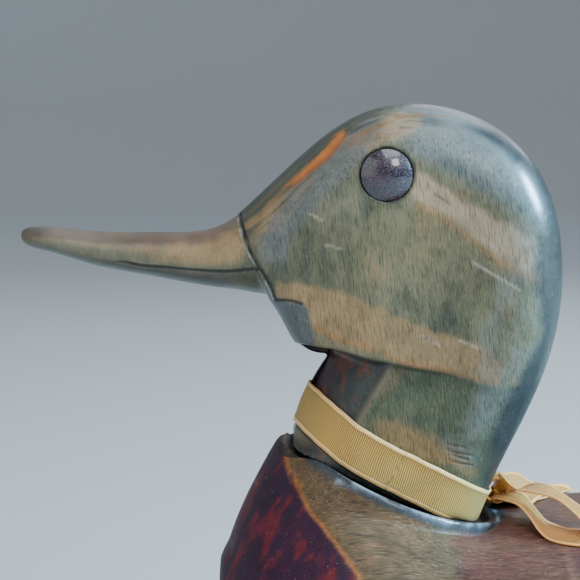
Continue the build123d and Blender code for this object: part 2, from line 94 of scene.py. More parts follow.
def area_light(name, place, aim, size, power, colour):
    data = bpy.data.lights.new(name, "AREA")
    data.shape = "RECTANGLE"
    data.size, data.size_y = size
    data.energy = power
    data.color = colour
    light = bpy.data.objects.new(name, data)
    scene.collection.objects.link(light)
    light.location = place
    light.rotation_euler = (Vector(place) - Vector(aim)).to_track_quat("Z", "Y").to_euler()


def studio():
    world = bpy.data.worlds.new("studio")
    scene.world = world
    world.use_nodes = True
    world.node_tree.nodes["Background"].inputs["Color"].default_value = (0.9, 0.93, 1.0, 1)
    world.node_tree.nodes["Background"].inputs["Strength"].default_value = 0.33
    head = tuple(SEAT + Vector((0, 0, 0.05)))
    area_light("window", (0.06, 1.15, 0.66), head, (0.34, 0.4), 62, (0.42, 0.76, 1.0))
    area_light("overhead", (0.45, 0.1, 1.25), head, (0.8, 0.8), 9.5, (0.88, 0.94, 1.0))
    area_light("key", (1.15, 0.5, 0.95), head, (0.45, 0.45), 9.5, (1.0, 0.97, 0.92))
    area_light("front_fill", (0.95, -1.25, 0.6), head, (1.3, 1.3), 6.6, (1.0, 0.95, 0.88))
    area_light("back_fill", (-1.0, 0.3, 0.9), head, (0.8, 0.8), 5, (0.95, 0.97, 1.0))
    # A flat floor that curls up into a round wall far away.
    profile = [(0.0, 0.0), (1.6, 0.0), (2.2, 0.03), (2.7, 0.16), (3.1, 0.42), (3.3, 0.85), (3.35, 1.6)]
    steps = 96
    angles = [2 * pi * k / steps for k in range(steps)]
    verts, faces = [], []
    for radius, height in profile:
        verts += [(radius * cos(angle), radius * sin(angle), height) for angle in angles]
    for row in range(len(profile) - 1):
        for k in range(steps):
            a, b = row * steps + k, row * steps + (k + 1) % steps
            faces.append((a, b, b + steps, a + steps))
    mesh = bpy.data.meshes.new("floor")
    mesh.from_pydata(verts, [], faces)
    mesh.polygons.foreach_set("use_smooth", [True] * len(faces))
    floor = bpy.data.objects.new("floor", mesh)
    scene.collection.objects.link(floor)
    mesh.materials.append(Material("floor_card", Roughness=0.85, Base_Color=(0.5, 0.49, 0.485, 1)).made)


# ---------------------------------------------------------------- shader helpers

class Material:
    """A material, with short calls that add nodes to it and return their outputs."""

    def __init__(self, name, **sockets):
        self.made = bpy.data.materials.new(name)
        self.made.use_nodes = True
        self.tree = self.made.node_tree
        self.shader = self.tree.nodes["Principled BSDF"]
        for socket, value in sockets.items():
            self.shader.inputs[socket.replace("_", " ")].default_value = value

    def feed(self, socket, value):
        """Sets a socket to a number or colour, or links it to another node's output."""
        if isinstance(value, bpy.types.NodeSocket):
            self.tree.links.new(value, socket)
        elif hasattr(value, "__len__") and len(value) == 3 and socket.type == "RGBA":
            socket.default_value = (*value, 1)
        else:
            socket.default_value = value

    def set(self, name, value):
        self.feed(self.shader.inputs[name], value)

    def node(self, kind, out=0, props=(), **inputs):
        made = self.tree.nodes.new("ShaderNode" + kind)
        for name, value in props:
            setattr(made, name, value)
        for name, value in inputs.items():
            index = int(name[1:]) if name[0] == "i" and name[1:].isdigit() else name.replace("_", " ")
            self.feed(made.inputs[index], value)
        return made.outputs[out]

    def maths(self, operation, a, b=0.0):
        return self.node("Math", props=[("operation", operation)], i0=a, i1=b)

    def times(self, a, b):
        return self.maths("MULTIPLY", a, b)

    def plus(self, a, b):
        return self.maths("ADD", a, b)

    def step(self, value, low, high):
        """0 below low, 1 above high, smooth between."""
        props = [("interpolation_type", "SMOOTHSTEP")]
        return self.node("MapRange", props=props, Value=value, From_Min=low, From_Max=high)

    def mix(self, factor, a, b, blend="MIX"):
        props = [("data_type", "RGBA"), ("blend_type", blend)]
        return self.node("Mix", out=2, props=props, i0=factor, i6=a, i7=b)

    def tinted(self, colour, tint):
        return self.mix(1.0, colour, tint, "MULTIPLY")

    def noise(self, stretch, detail, rough, distortion=0.0, turn=(0.0, 0.0, 0.0)):
        """Clouds on the object's millimetres, turned and then scaled: a small scale draws a long streak."""
        turned = self.node("Mapping", Vector=self.node("TexCoord", out=3), Rotation=turn, Scale=(1 / MM,) * 3)
        vector = self.node("Mapping", Vector=turned, Scale=stretch)
        return self.node(
            "TexNoise", Vector=vector, Scale=1.0, Detail=detail, Roughness=rough, Distortion=distortion)

    def attribute(self, name, out=2):
        return self.node("Attribute", out=out, props=[("attribute_name", name)])

    def roughen(self, value, low, high, start=0.3, end=0.7):
        """Runs the roughness from low to high as the value goes from start to end."""
        ends = {"From_Min": start, "From_Max": end, "To_Min": low, "To_Max": high}
        self.set("Roughness", self.node("MapRange", Value=value, **ends))

    def bump(self, height, distance, strength=1.0, below=None):
        inputs = {"Strength": strength, "Distance": distance, "Height": height}
        if below is not None:
            inputs["Normal"] = below
        made = self.node("Bump", **inputs)
        self.set("Normal", made)
        return made


# ---------------------------------------------------------------- mesh helpers

def from_seat(co):
    """Places in the frame as millimetres from the neck seat's centre."""
    return (co - ORIGIN) / MM


def world(points):
    """Millimetres from the neck seat's centre as places in the frame."""
    return ORIGIN + np.asarray(points, float) * MM


def seat_coordinates(rel):
    """Distance from the swivel axis and height along it from the seat, in millimetres."""
    up = rel @ AXIS
    return np.linalg.norm(rel - np.outer(up, AXIS), axis=1), up


def remeshed(name, node_name, voxel):
    """A copy of a CAD node's form as an even mesh."""
    source = bpy.data.objects.new(name, frame["nodes"][node_name].data.copy())
    scene.collection.objects.link(source)
    modifier = source.modifiers.new("even", "REMESH")
    modifier.mode = "VOXEL"
    modifier.voxel_size = voxel
    evaluated = source.evaluated_get(bpy.context.evaluated_depsgraph_get())
    mesh = bpy.data.meshes.new_from_object(evaluated)
    source.modifiers.clear()
    source.data = mesh
    mesh.name = name
    mesh.materials.clear()
    return source


def points_of(mesh):
    co = np.zeros(len(mesh.vertices) * 3)
    mesh.vertices.foreach_get("co", co)
    return co.reshape(-1, 3)


def normals_of(mesh):
    normals = np.zeros(len(mesh.vertices) * 3)
    mesh.vertices.foreach_get("normal", normals)
    return normals.reshape(-1, 3)


def set_points(mesh, co):
    mesh.vertices.foreach_set("co", co.ravel())
    mesh.update()


EVEN = (0.6, -0.58)  # a pull in and a weaker one out
MELT = (0.5,)  # a pull that only goes in


def relax(mesh, weight, rounds, pulls=EVEN):
    """Moves each point toward the middle of its neighbours by its weight, with the pulls taken in turn.

    One pull in and a weaker one out even the surface and keep its size. Pulls that only go in melt a joint.
    """
    edges = np.zeros(len(mesh.edges) * 2, dtype=np.int64)
    mesh.edges.foreach_get("vertices", edges)
    ends = np.concatenate([edges[0::2], edges[1::2]])
    others = np.concatenate([edges[1::2], edges[0::2]])
    count = len(mesh.vertices)
    degree = np.maximum(np.bincount(ends, minlength=count), 1)
    co = points_of(mesh)
    for turn in range(rounds):
        mean = np.stack([np.bincount(ends, co[others, k], minlength=count) / degree for k in range(3)], 1)
        co += (mean - co) * (weight * pulls[turn % len(pulls)])[:, None]
    set_points(mesh, co)


def store(mesh, name, values):
    values = np.asarray(values, dtype=np.float32)
    if values.ndim == 2:
        layer = mesh.attributes.new(name, "FLOAT_COLOR", "POINT")
        opaque = np.ones((len(values), 1), np.float32)
        layer.data.foreach_set("color", np.concatenate([values, opaque], 1).ravel())
    else:
        layer = mesh.attributes.new(name, "FLOAT", "POINT")
        layer.data.foreach_set("value", values)


def shade_smooth(obj):
    obj.data.polygons.foreach_set("use_smooth", [True] * len(obj.data.polygons))


# ---------------------------------------------------------------- drawing on a surface

def smooth(low, high, x):
    """None below low and one above high, with an eased rise between them."""
    t = np.clip((x - low) / (high - low), 0, 1)
    return t * t * (3 - 2 * t)


def falling(low, high, x):
    """One below low and none above high, the other way round from smooth."""
    return 1 - smooth(low, high, x)


def curve_through(points, per_span=10, closed=False):
    """A Catmull-Rom curve through given points, as an array."""
    p = [np.array(q, float) for q in points]
    n = len(p)
    spans = n if closed else n - 1
    out = []
    for k in range(spans):
        if closed:
            a, b, c, d = p[(k - 1) % n], p[k], p[(k + 1) % n], p[(k + 2) % n]
        else:
            a, b, c, d = p[max(k - 1, 0)], p[k], p[k + 1], p[min(k + 2, n - 1)]
        for t in np.linspace(0, 1, per_span, endpoint=False):
            bend, twist = 2 * a - 5 * b + 4 * c - d, 3 * b - a - 3 * c + d
            out.append(0.5 * (2 * b + (c - a) * t + bend * t ** 2 + twist * t ** 3))
    if not closed:
        out.append(p[-1])
    return np.array(out)


def distance_to(places, line, closed=False):
    """Distance of each place from a line, and how far along the line its nearest point is, 0 to 1."""
    line = np.asarray(line)
    best = np.full(len(places), 1e9)
    where = np.zeros(len(places))
    count = len(line) if closed else len(line) - 1
    for k in range(count):
        a, b = line[k], line[(k + 1) % len(line)]
        d = b - a
        t = np.clip(((places - a) @ d) / max(d @ d, 1e-12), 0, 1)
        gap = np.linalg.norm(places - a - t[:, None] * d, axis=1)
        closer = gap < best
        best[closer] = gap[closer]
        where[closer] = (k + t[closer]) / count
    return best, where


def gap_to(places, points):
    return distance_to(places, curve_through(points))[0]


def patch(places, points):
    """Signed distance to a patch with smooth edges: negative inside."""
    line = curve_through(points, 6, closed=True)
    gap, _ = distance_to(places, line, closed=True)
    inside = np.zeros(len(places), bool)
    for k in range(len(line)):
        (x0, y0), (x1, y1) = line[k - 1], line[k]
        crosses = (y0 > places[:, 1]) != (y1 > places[:, 1])
        at = x0 + (places[:, 1] - y0) / ((y1 - y0) if abs(y1 - y0) > 1e-12 else 1e-12) * (x1 - x0)
        inside ^= crosses & (places[:, 0] < at)
    return np.where(inside, -gap, gap)


def lattice_noise(places, size, seed):
    """Smooth random values from 0 to 1 that change over about that many millimetres."""
    q = places / size
    base = np.floor(q).astype(np.int64)
    f = q - base
    f = f * f * (3 - 2 * f)
    total = np.zeros(len(places))
    for corner in range(8):
        offset = np.array([corner & 1, corner >> 1 & 1, corner >> 2 & 1])
        i = base + offset
        h = (i[:, 0] * 73856093) ^ (i[:, 1] * 19349663) ^ (i[:, 2] * 83492791) ^ (seed * 2654435761)
        h = (h ^ (h >> 13)) * 1274126177 & 0x7FFFFFFF
        h = (h ^ (h >> 15)) & 0xFFFF
        weight = np.prod(np.where(offset == 1, f, 1 - f), axis=1)
        total += weight * h / 65535
    return total


def mottle(places, size, seed, layers=3):
    """Layered lattice noise about 0, roughly -1 to 1."""
    total, strength = np.zeros(len(places)), 1.0
    for k in range(layers):
        total += strength * (lattice_noise(places, size / 2 ** k, seed + k) * 2 - 1)
        strength *= 0.55
    return total


def coat(count, base):
    """A colour on each point, and a function that washes a tone over it as far as its mask goes toward 1."""
    colour = np.tile(np.array(base), (count, 1))

    def wash(mask, tone):
        colour[:] += (np.array(tone) - colour) * np.clip(mask, 0, 1)[:, None]

    return colour, wash


# ---------------------------------------------------------------- head

NECK_FRONT, NECK_ROUND = 22.8, 15.0  # the throat ahead of the axis, and the length of its rounding
CREASE = [(-31.6, 61.9), (-31.2, 58.7), (-29.7, 54.2), (-27.3, 49.6), (-25.2, 46.4), (-23.5, 42.6)]
MOUTH = [(-62, 50.2), (-57, 50.2), (-53, 49.4), (-46.7, 49.0), (-42, 48.6), (-34.4, 48.3), (-27.6, 49.0)]
CHIN_LINE = [(-23.6, 42.5), (-20.5, 42.6), (-17.9, 42.0)]
JAW_LINE = [
    (-17, 33.2), (-13, 32.6), (-8.5, 31.9), (-3, 30.4), (3, 29.4), (9, 28.3), (14, 27.4), (22.5, 24.6),
]
FACET = [(2.2, 31.5), (0.0, 26.4), (-2.8, 21.7), (-6.4, 15.0), (-9.5, 8.0)]

JAW = [
    (-22.9, 46.4), (-16.6, 45.8), (-9.7, 44.5), (-4.2, 42.8), (3.1, 39.2), (13.8, 35.7), (24.0, 31.8),
    (24.0, 24.6), (13.9, 27.7), (8.5, 28.8), (3.2, 30.1), (-0.1, 31.8), (-5.6, 33.4), (-11.0, 35.2),
    (-15.1, 37.0), (-16.3, 39.8), (-17.6, 42.2), (-20.0, 42.8), (-23.0, 43.2),
]
WEDGE = [
    (4.6, 67.6), (6.5, 70.5), (13.5, 66.3), (23.1, 60.8), (35.0, 54.6), (34.5, 46.4), (24.3, 51.4),
    (20.9, 54.0), (13.6, 59.9), (7.2, 63.3),
]
CROWN_PATCH = [
    (-8.5, 77.7), (-2.3, 81.0), (3.0, 82.5), (6.6, 82.7), (7.3, 80.6), (3.9, 77.9), (-0.2, 76.8),
    (-5.0, 74.7),
]
BROW_SHEEN = [(-3.5, 80.0), (-7.2, 75.1), (-12.9, 68.8), (-18.3, 63.4), (-22.5, 57.6), (-24.0, 53.0)]
FOREHEAD = [
    (-31.8, 60.6), (-26.7, 64.6), (-18.1, 73.1), (-9.2, 80.1), (-1.3, 83.7), (6.5, 84.8), (15.5, 83.7),
]
WORN_EDGE = [(-8.7, 79.0), (-12.7, 74.4), (-17.4, 70.2), (-21.0, 67.2)]
FOREHEAD_TAN = [
    (-30.0, 58.6), (-23.6, 63.6), (-18.9, 66.6), (-15.9, 68.6), (-17.6, 65.0), (-21.0, 61.2),
    (-25.5, 57.2),
]
FOREHEAD_DARK = [(-29.1, 61.6), (-23.6, 65.9), (-18.2, 70.6), (-13.3, 76.0), (-8.3, 80.4)]
CHIN_PATCH = [
    (-23.5, 42.4), (-19.5, 42.2), (-17.6, 41.7), (-16.5, 39.6), (-15.7, 36.3), (-15.4, 33.0),
    (-20.0, 32.0), (-25.0, 38.0),
]
BILL_TAN = [
    (-48.0, 52.6), (-41.2, 54.6), (-36.8, 55.4), (-32.2, 56.8), (-30.9, 53.0), (-32.1, 50.2),
    (-40.1, 50.2),
]
NECK_BROWN = [
    (-2.0, 16.6), (4.2, 16.2), (10.7, 13.2), (15.1, 11.2), (19.9, 5.4), (11.9, 7.2), (0.3, 12.0),
]
NICKS = [
    ((13.6, 11.9), (17.4, 11.2)), ((13.2, 10.6), (18.9, 9.3)), ((14.6, 9.6), (18.0, 8.4)),
    ((14.2, 8.2), (19.2, 7.0)),
]
NICK_HIGHLIGHT = [(13.6, 12.2), (16.2, 9.8), (18.4, 8.6)]
NAPE_SHEEN = [(26.0, 47.0), (24.4, 41.2), (22.3, 32.5), (21.0, 22.0), (18.4, 14.6)]
NAPE_DARK = [
    (21.8, 2), (22.4, 8), (23.0, 14), (27.0, 22.5), (31.0, 29), (33.6, 35), (33.4, 40), (32.6, 46),
    (32.2, 54), (31.4, 62), (28.6, 70), (24, 76), (16, 80.5),
]
EYE = np.array([0.2, 69.9])
PALE_SHEEN_SPOT = np.array([-8.5, 63.0])
SCRATCHES = [
    ((18.4, 51.4), (28.7, 45.4)), ((20.4, 56.5), (23.4, 54.4)), ((7.4, 35.7), (11.7, 33.4)),
    ((-16.0, 61.4), (-13.6, 60.2)), ((-13.0, 55.0), (-9.6, 54.2)), ((15.8, 34.6), (20.0, 32.8)),
]
DARK_CUTS = [
    ((9.9, 66.1), (14.0, 63.5)), ((-0.2, 78.6), (-0.2, 76.6)), ((21.0, 52.6), (23.4, 51.6)),
    ((6.6, 35.9), (10.9, 33.9)),
]

OLIVE = (0.196, 0.19, 0.112)
OLIVE_DARK = (0.052, 0.072, 0.054)
TAN = (0.335, 0.225, 0.112)
PALE_TAN = (0.52, 0.4, 0.27)
ORANGE = (0.52, 0.175, 0.04)
SHEEN_GREY_GREEN = (0.122, 0.163, 0.182)
SHEEN_SLATE = (0.128, 0.15, 0.158)
NEAR_BLACK = (0.016, 0.02, 0.022)
RIM_GREEN = tuple(0.55 * part for part in OLIVE_DARK)


def head_coordinates(co):
    """(u, v) and the sideways distance from the middle, in millimetres, and height along the swivel axis."""
    rel = from_seat(co)
    return rel[:, 1:3], np.abs(rel[:, 0]), rel @ AXIS


def jaw_height(u):
    jaw = curve_through(JAW_LINE)
    return np.interp(u, jaw[:, 0], jaw[:, 1])


def facet_place(v):
    """Where the two facets of the throat meet, as u."""
    line = curve_through(FACET)[::-1]
    return np.interp(v, line[:, 1], line[:, 0])


def crease_gap(places, solid):
    """Distance from the crease at the bill's root, which wanders a little."""
    wander = np.column_stack([mottle(solid, 3, 5), mottle(solid, 3, 6)])
    return gap_to(places + 0.22 * wander, CREASE)


def carve(mesh, cuts):
    """Presses grooves into the surface: each cut is (distance, half width, depth, mask)."""
    co, normals = points_of(mesh), normals_of(mesh)
    depth = np.zeros(len(co))
    for gap, half, deep, mask in cuts:
        depth = np.maximum(depth, deep * np.clip(1 - gap / half, 0, 1) ** 0.8 * mask)
    set_points(mesh, co - normals * (depth * MM)[:, None])


def finer(obj, choose):
    """Splits the faces that the choice picks by their centres, in millimetres from the seat."""
    mesh = obj.data
    bm = bmesh.new()
    bm.from_mesh(mesh)
    centres = np.array([f.calc_center_median() for f in bm.faces])
    picked = choose(from_seat(centres))
    edges = {e for f, take in zip(bm.faces, picked) if take for e in f.edges}
    bmesh.ops.subdivide_edges(bm, edges=list(edges), cuts=1, use_grid_fill=True)
    bm.to_mesh(mesh)
    bm.free()


def carve_head():
    obj = remeshed("carved_head", "head", voxel=0.55 * MM)
    mesh = obj.data
    places, side, up_axis = head_coordinates(points_of(mesh))
    u, v = places[:, 0], places[:, 1]
    from_axis, _ = seat_coordinates(from_seat(points_of(mesh)))
    in_socket = (np.linalg.norm(places - EYE, axis=1) < 6.6) & (side > 12)
    in_bore = (from_axis < 4.6) & (up_axis < 46)
    outside = smooth(1.6, 2.4, up_axis)
    free = outside * ~(in_socket | in_bore)
    relax(mesh, free, 8)
    bill_root = free * smooth(-46, -38, u) * falling(-22, -15, u) * smooth(36, 44, v)
    relax(mesh, bill_root, 10, MELT)

    # The neck is cut back under the jaw, most at the throat, and comes out to the jaw again at the nape.
    co = points_of(mesh)
    places, side, up_axis = head_coordinates(co)
    u, v = places[:, 0], places[:, 1]
    jaw_v = jaw_height(u)
    aft = u * cos(LEAN) - v * sin(LEAN)
    ahead = np.clip((aft + NECK_FRONT) / NECK_ROUND, 0.0, 1.0)
    rounded = np.sqrt(np.clip(1 - (1 - ahead) ** 2, 0.02, 1))
    co[:, 0] *= 1 - (1 - rounded) * smooth(0.0, 2.5, jaw_v - v) * smooth(1.0, 5.0, up_axis) * (u < 10)
    below = smooth(0.0, 1.1, jaw_v - v) * falling(6, 22, u) * smooth(8, 14, side) * outside
    ahead = smooth(-0.6, 1.4, facet_place(v) - u)
    fade = smooth(2, 14, up_axis)
    inward = below * fade * (1.1 + 1.3 * ahead)
    co[:, 0] -= np.sign(co[:, 0]) * inward * MM
    # A raised line where the two facets of the throat meet.
    gap = gap_to(places, FACET)
    co[:, 0] += np.sign(co[:, 0]) * (0.5 * np.exp(-(gap / 0.9) ** 2) * below * fade) * MM
    set_points(mesh, co)

    # Grooves: bill crease, mouth, chin line and knife nicks.
    finer(obj, near_a_groove)
    places, side, _ = head_coordinates(points_of(mesh))
    solid = np.column_stack([places, side])
    wobble = 0.85 + 0.35 * mottle(solid, 2.0, 11)
    mouth, along = distance_to(places, curve_through(MOUTH))
    lateral = smooth(1.5, 4.5, side)
    cuts = [
        (crease_gap(places, solid), 0.62, 0.85, wobble * smooth(1.0, 3.0, side)),
        (mouth, 0.42, 0.42, wobble * lateral * smooth(0.02, 0.3, along)),
        (gap_to(places, CHIN_LINE), 0.45, 0.45, lateral),
    ]
    for a, b in NICKS:
        gap, _ = distance_to(places, (a, b))
        cuts.append((gap, 0.32, 0.22, smooth(14, 17, side)))
    carve(mesh, cuts)
    paint_head(obj)
    shade_smooth(obj)
    return obj


def near_a_groove(c):
    """Picks the faces where the mesh has to be fine."""
    flat, side = c[:, 1:3], np.abs(c[:, 0])
    near = np.zeros(len(c), bool)
    for line, reach in ((CREASE, 2.0), (MOUTH, 1.2), (CHIN_LINE, 1.2)):
        near |= (gap_to(flat, line) < reach) & (side > 1.0)
    for a, b in NICKS:
        gap, _ = distance_to(flat, (a, b))
        near |= (gap < 0.9) & (side > 13)
    return near


def paint_head(obj):
    """The stained finish, painted shade and sheen as a colour on each point, with what the shader needs
    beside it.
    """
    mesh = obj.data
    co, normals = points_of(mesh), normals_of(mesh)
    places, side, up_axis = head_coordinates(co)
    solid = np.column_stack([co[:, 0] / MM, places])
    u, v = places[:, 0], places[:, 1]
    rim = 1 - np.abs(normals[:, 0])
    broad = mottle(solid, 14, 1)
    fine = mottle(solid, 3.5, 2)
    grain = mottle(solid * np.array([1, 1.0, 0.22]), 2.2, 3)

    colour, wash = coat(len(co), OLIVE)
    wash(0.55 * smooth(0.1, 1.1, broad + 0.5 * grain), TAN)
    wash(0.75 * smooth(0.0, 1.2, -broad + 0.6 * grain), OLIVE_DARK)
    # Front of the cheek is darker and greener; behind the eye it is browner.
    wash(0.55 * falling(-26, -2, u) * smooth(30, 44, v) * falling(62, 72, v), OLIVE_DARK)
    wash(0.25 * smooth(-4, 12, u) * smooth(38, 48, v) * falling(58, 66, v), (0.2, 0.165, 0.09))

    # Back crown: grey green, a painted sheen of reflected light.
    crown_sheen = smooth(-2, 3, patch(places, WEDGE)) * smooth(-6, 8, u) * smooth(50, 60, v)
    above_wedge = smooth(0, 6, (v - 70.5) + 0.55 * (u - 6.5))
    wash(0.8 * crown_sheen * above_wedge, SHEEN_GREY_GREEN)
    for shape, tone, soft, amount, seed in (
        (CROWN_PATCH, (0.36, 0.25, 0.15), 0.9, 0.8, 21),
        (WEDGE, PALE_TAN, 0.8, 0.85, 22),
        (FOREHEAD_TAN, TAN, 1.0, 0.75, 23),
        (JAW, TAN, 0.7, 0.9, 24),
        (BILL_TAN, TAN, 1.2, 0.7, 25),
    ):
        ragged = patch(places, shape) + 0.55 * mottle(solid, 2.6, seed) + 0.35 * grain
        wash(amount * falling(-soft, soft, ragged), tone)
    # Warmer lower edge of the wedge and of the jaw stripe.
    wedge_low = gap_to(places, WEDGE[5:])
    wash(0.55 * falling(0.3, 1.6, wedge_low + 0.4 * fine), (0.34, 0.185, 0.075))
    jaw_low = gap_to(places, JAW[7:15])
    wash(0.7 * falling(0.1, 1.2, jaw_low + 0.45 * fine + 0.3 * grain), (0.36, 0.175, 0.065))

    # A pale blotch behind the forehead: painted sheen.
    pale_sheen = falling(0.5, 7.5, np.linalg.norm(places - PALE_SHEEN_SPOT, axis=1) + 1.2 * fine)
    wash(0.4 * pale_sheen, (0.3, 0.3, 0.235))

    # Brow band (a painted sheen where the forehead rounds over), forehead streak and worn edge.
    band = gap_to(places, BROW_SHEEN)
    wash(0.8 * falling(1.6, 4.2, band + 0.5 * fine), SHEEN_SLATE)
    dark = gap_to(places, FOREHEAD_DARK)
    wash(0.8 * falling(0.5, 1.9, dark + 0.4 * fine), OLIVE_DARK)
    crest, along = distance_to(places, curve_through(FOREHEAD))
    layered = np.column_stack([along * 5.0, crest * 1.25, np.where(co[:, 0] > 0, 0.0, 9.0)])
    drawn = mottle(layered, 1.0, 51)
    band_in = smooth(0.0, 1.2, crest) * falling(4.0, 7.0, crest + 1.2 * fine) * falling(0.88, 1.0, along)
    wash(0.8 * band_in * smooth(0.15, 0.75, drawn), (0.235, 0.135, 0.062))
    wash(0.75 * band_in * smooth(0.1, 0.7, -drawn), (0.055, 0.062, 0.052))
    worn, along = distance_to(places, curve_through(WORN_EDGE))
    reach = np.interp(along, (0, 0.12, 0.5, 1), (0.2, 0.85, 0.75, 0.1))
    reach += 0.22 * mottle(layered * 2.1, 1.0, 52)
    wash(0.95 * falling(-0.25, 0.3, worn - reach), ORANGE)
    red_edge = gap_to(places - np.array([0.55, -0.55]), WORN_EDGE)
    wash(0.7 * falling(-0.2, 0.35, red_edge - 0.45 * reach), (0.3, 0.085, 0.03))

    # The rim of the plank is nearly black green, with brown showing where it's rubbed.
    edge = smooth(0.55, 0.9, rim + 0.06 * fine)
    bill = falling(-36, -30, u)
    wash(edge * (1 - bill) * smooth(20, 30, v), RIM_GREEN)
    rubbed = smooth(0.8, 0.97, rim) * smooth(-0.3, 0.5, fine + broad)
    wash(0.6 * rubbed * (1 - bill), (0.085, 0.055, 0.045))

    # Bill: dark ridge and tip, tan flank, green lower half.
    upward = normals[:, 2]
    wash(bill, (0.185, 0.176, 0.122))
    wash(bill * 0.6 * smooth(-0.2, 0.8, broad + 0.6 * grain) * smooth(49, 50.5, v), TAN)
    wash(bill * smooth(0.55, 0.82, upward + 0.08 * fine), (0.16, 0.116, 0.086))
    ridge_line = smooth(0.36, 0.52, upward + 0.06 * fine) * falling(0.55, 0.7, upward)
    wash(bill * 0.55 * ridge_line, (0.26, 0.14, 0.06))
    mouth = curve_through(MOUTH)
    mouth_v = np.interp(u, mouth[:, 0], mouth[:, 1])
    lower = smooth(0.0, 0.8, mouth_v - v) * smooth(-66, -58, u)
    wash(bill * 0.75 * lower, (0.118, 0.092, 0.096))
    wash(bill * 0.8 * smooth(0.6, 0.9, -upward), OLIVE_DARK)
    tip = falling(-79, -72, u + 1.2 * fine)
    wash(tip * 0.7, (0.05, 0.055, 0.048))
    shape = patch(places, BILL_TAN) + 0.6 * fine
    wash(0.65 * falling(-1.0, 1.2, shape), TAN)

    # Chin, under the jaw, and the neck.
    wash(0.9 * falling(-0.4, 0.4, patch(places, CHIN_PATCH)) * (1 - bill), (0.098, 0.116, 0.13))
    jaw_v = jaw_height(u)
    neck = smooth(-0.3, 0.7, jaw_v - v) * smooth(-19, -15, u)
    wash(neck, (0.078, 0.102, 0.064))
    wash(neck * 0.6 * smooth(0.1, 1.0, broad + 0.7 * grain), (0.16, 0.15, 0.085))
    # Painted shade along the underside of the jaw.
    under = np.exp(-((jaw_v - v - 0.8) / 0.9) ** 2) * falling(-6, 14, u)
    wash((0.25 + 0.6 * smooth(-12, -6, u)) * under, NEAR_BLACK)
    facet_u = facet_place(v)
    # Painted shade: the throat's front facet, which faces forward, is darkened.
    ahead = smooth(-0.3, 0.8, facet_u - u)
    wash(neck * 0.9 * ahead, (0.04, 0.05, 0.054))
    maroon = falling(6, 13, side)
    wash(neck * 0.65 * ahead * maroon, (0.062, 0.018, 0.03))
    wash(neck * 0.6 * ahead * smooth(0.3, 0.9, fine + grain + 0.5 * broad), (0.19, 0.058, 0.03))
    gap = gap_to(places, FACET)
    wash(neck * 0.75 * np.exp(-(gap / 0.7) ** 2), (0.2, 0.165, 0.125))
    behind = np.exp(-((u - facet_u - 2.4) / 1.2) ** 2)
    wash(neck * 0.45 * behind * smooth(18, 26, v), (0.21, 0.12, 0.06))
    brown = falling(-1.8, 1.6, patch(places, NECK_BROWN) + 0.9 * fine + 0.5 * grain)
    wash(0.75 * brown, (0.3, 0.19, 0.078))
    wash(neck * edge * smooth(5, 12, u), RIM_GREEN)

    nape_line = curve_through(NAPE_DARK)
    past = u - np.interp(v, nape_line[:, 1], nape_line[:, 0]) + 0.35 * fine
    # Painted shade: the cheek is darkened toward the rear of the head.
    rear = smooth(4, 17, u) * falling(29, 35, u) * falling(62, 72, v) * smooth(22, 26, v)
    colour *= (1 - 0.22 * rear)[:, None]
    # A bluish-grey painted sheen just ahead of the dark nape edge.
    nape_side_sheen = smooth(-9.5, -3.0, past) * falling(56, 62, v) * smooth(9, 20, v) * smooth(14, 16.5, side)
    wash(0.42 * nape_side_sheen * smooth(-1.2, 0.6, fine + grain), (0.165, 0.2, 0.21))
    sheen = gap_to(places, NAPE_SHEEN)
    sheen = falling(0.4, 3.4, sheen + 0.8 * fine + 0.5 * grain)
    wash(0.34 * sheen * smooth(12, 16, side), (0.2, 0.245, 0.255))

    # The rounded edge of the nape is painted nearly black, as painted shade, with a hard shine where it is
    # rubbed.
    shaded_nape = smooth(-1.9, 1.6, past + 0.3 * grain) * falling(78, 82, v) * smooth(10, 18, u)
    wash(0.93 * shaded_nape, (0.018, 0.03, 0.036))
    rubbed = shaded_nape * smooth(0.86, 0.98, rim) * smooth(0.0, 0.7, fine + broad)
    wash(0.55 * rubbed, (0.085, 0.052, 0.04))

    # Painted shade: the foot of the neck, down in the seat, is nearly black.
    wash(0.92 * falling(1.8, 4.2, up_axis + 0.3 * fine), NEAR_BLACK)

    # Small marks: pale scratches, dark cuts, the dark lines of the carved grooves and painted highlights.
    flat = smooth(0.75, 0.95, np.abs(normals[:, 0]))
    for a, b in SCRATCHES:
        gap, _ = distance_to(places, (a, b))
        wash(0.6 * flat * falling(0.1, 0.42, gap), (0.46, 0.42, 0.34))
    # A bluish painted highlight round the knife nicks.
    nick_highlight = gap_to(places, NICK_HIGHLIGHT)
    wash(0.45 * falling(0.8, 3.2, nick_highlight + 0.7 * fine) * smooth(12, 15, side), (0.165, 0.195, 0.2))
    for marks, depth in ((DARK_CUTS, 0.75), (NICKS, 0.55)):
        for a, b in marks:
            gap, at = distance_to(places, (a, b))
            taper = 0.42 * (1 - 0.7 * np.abs(2 * at - 1)) + 0.12 * fine
            cut = depth * falling(0.08, 0.4, gap + 0.42 - taper)
            wash(cut * smooth(12, 15, side), (0.03, 0.04, 0.038))
    wash(0.95 * falling(0.12, 0.45, crease_gap(places, solid)), NEAR_BLACK)
    # A painted highlight along the lip of the crease.
    lip = gap_to(places + np.array([0.55, 0.1]), CREASE)
    wash(0.75 * falling(0.06, 0.3, lip) * smooth(-0.5, 0.3, mottle(solid, 1.4, 53)), (0.34, 0.38, 0.42))
    line, along = distance_to(places, curve_through(MOUTH))
    wash(0.9 * falling(0.1, 0.5, line) * smooth(0.0, 0.25, along), NEAR_BLACK)
    line = gap_to(places, CHIN_LINE)
    wash(0.9 * falling(0.1, 0.5, line), NEAR_BLACK)
    socket = falling(5.7, 6.5, np.linalg.norm(places - EYE, axis=1))
    wash(0.85 * socket * smooth(10, 12, side), NEAR_BLACK)

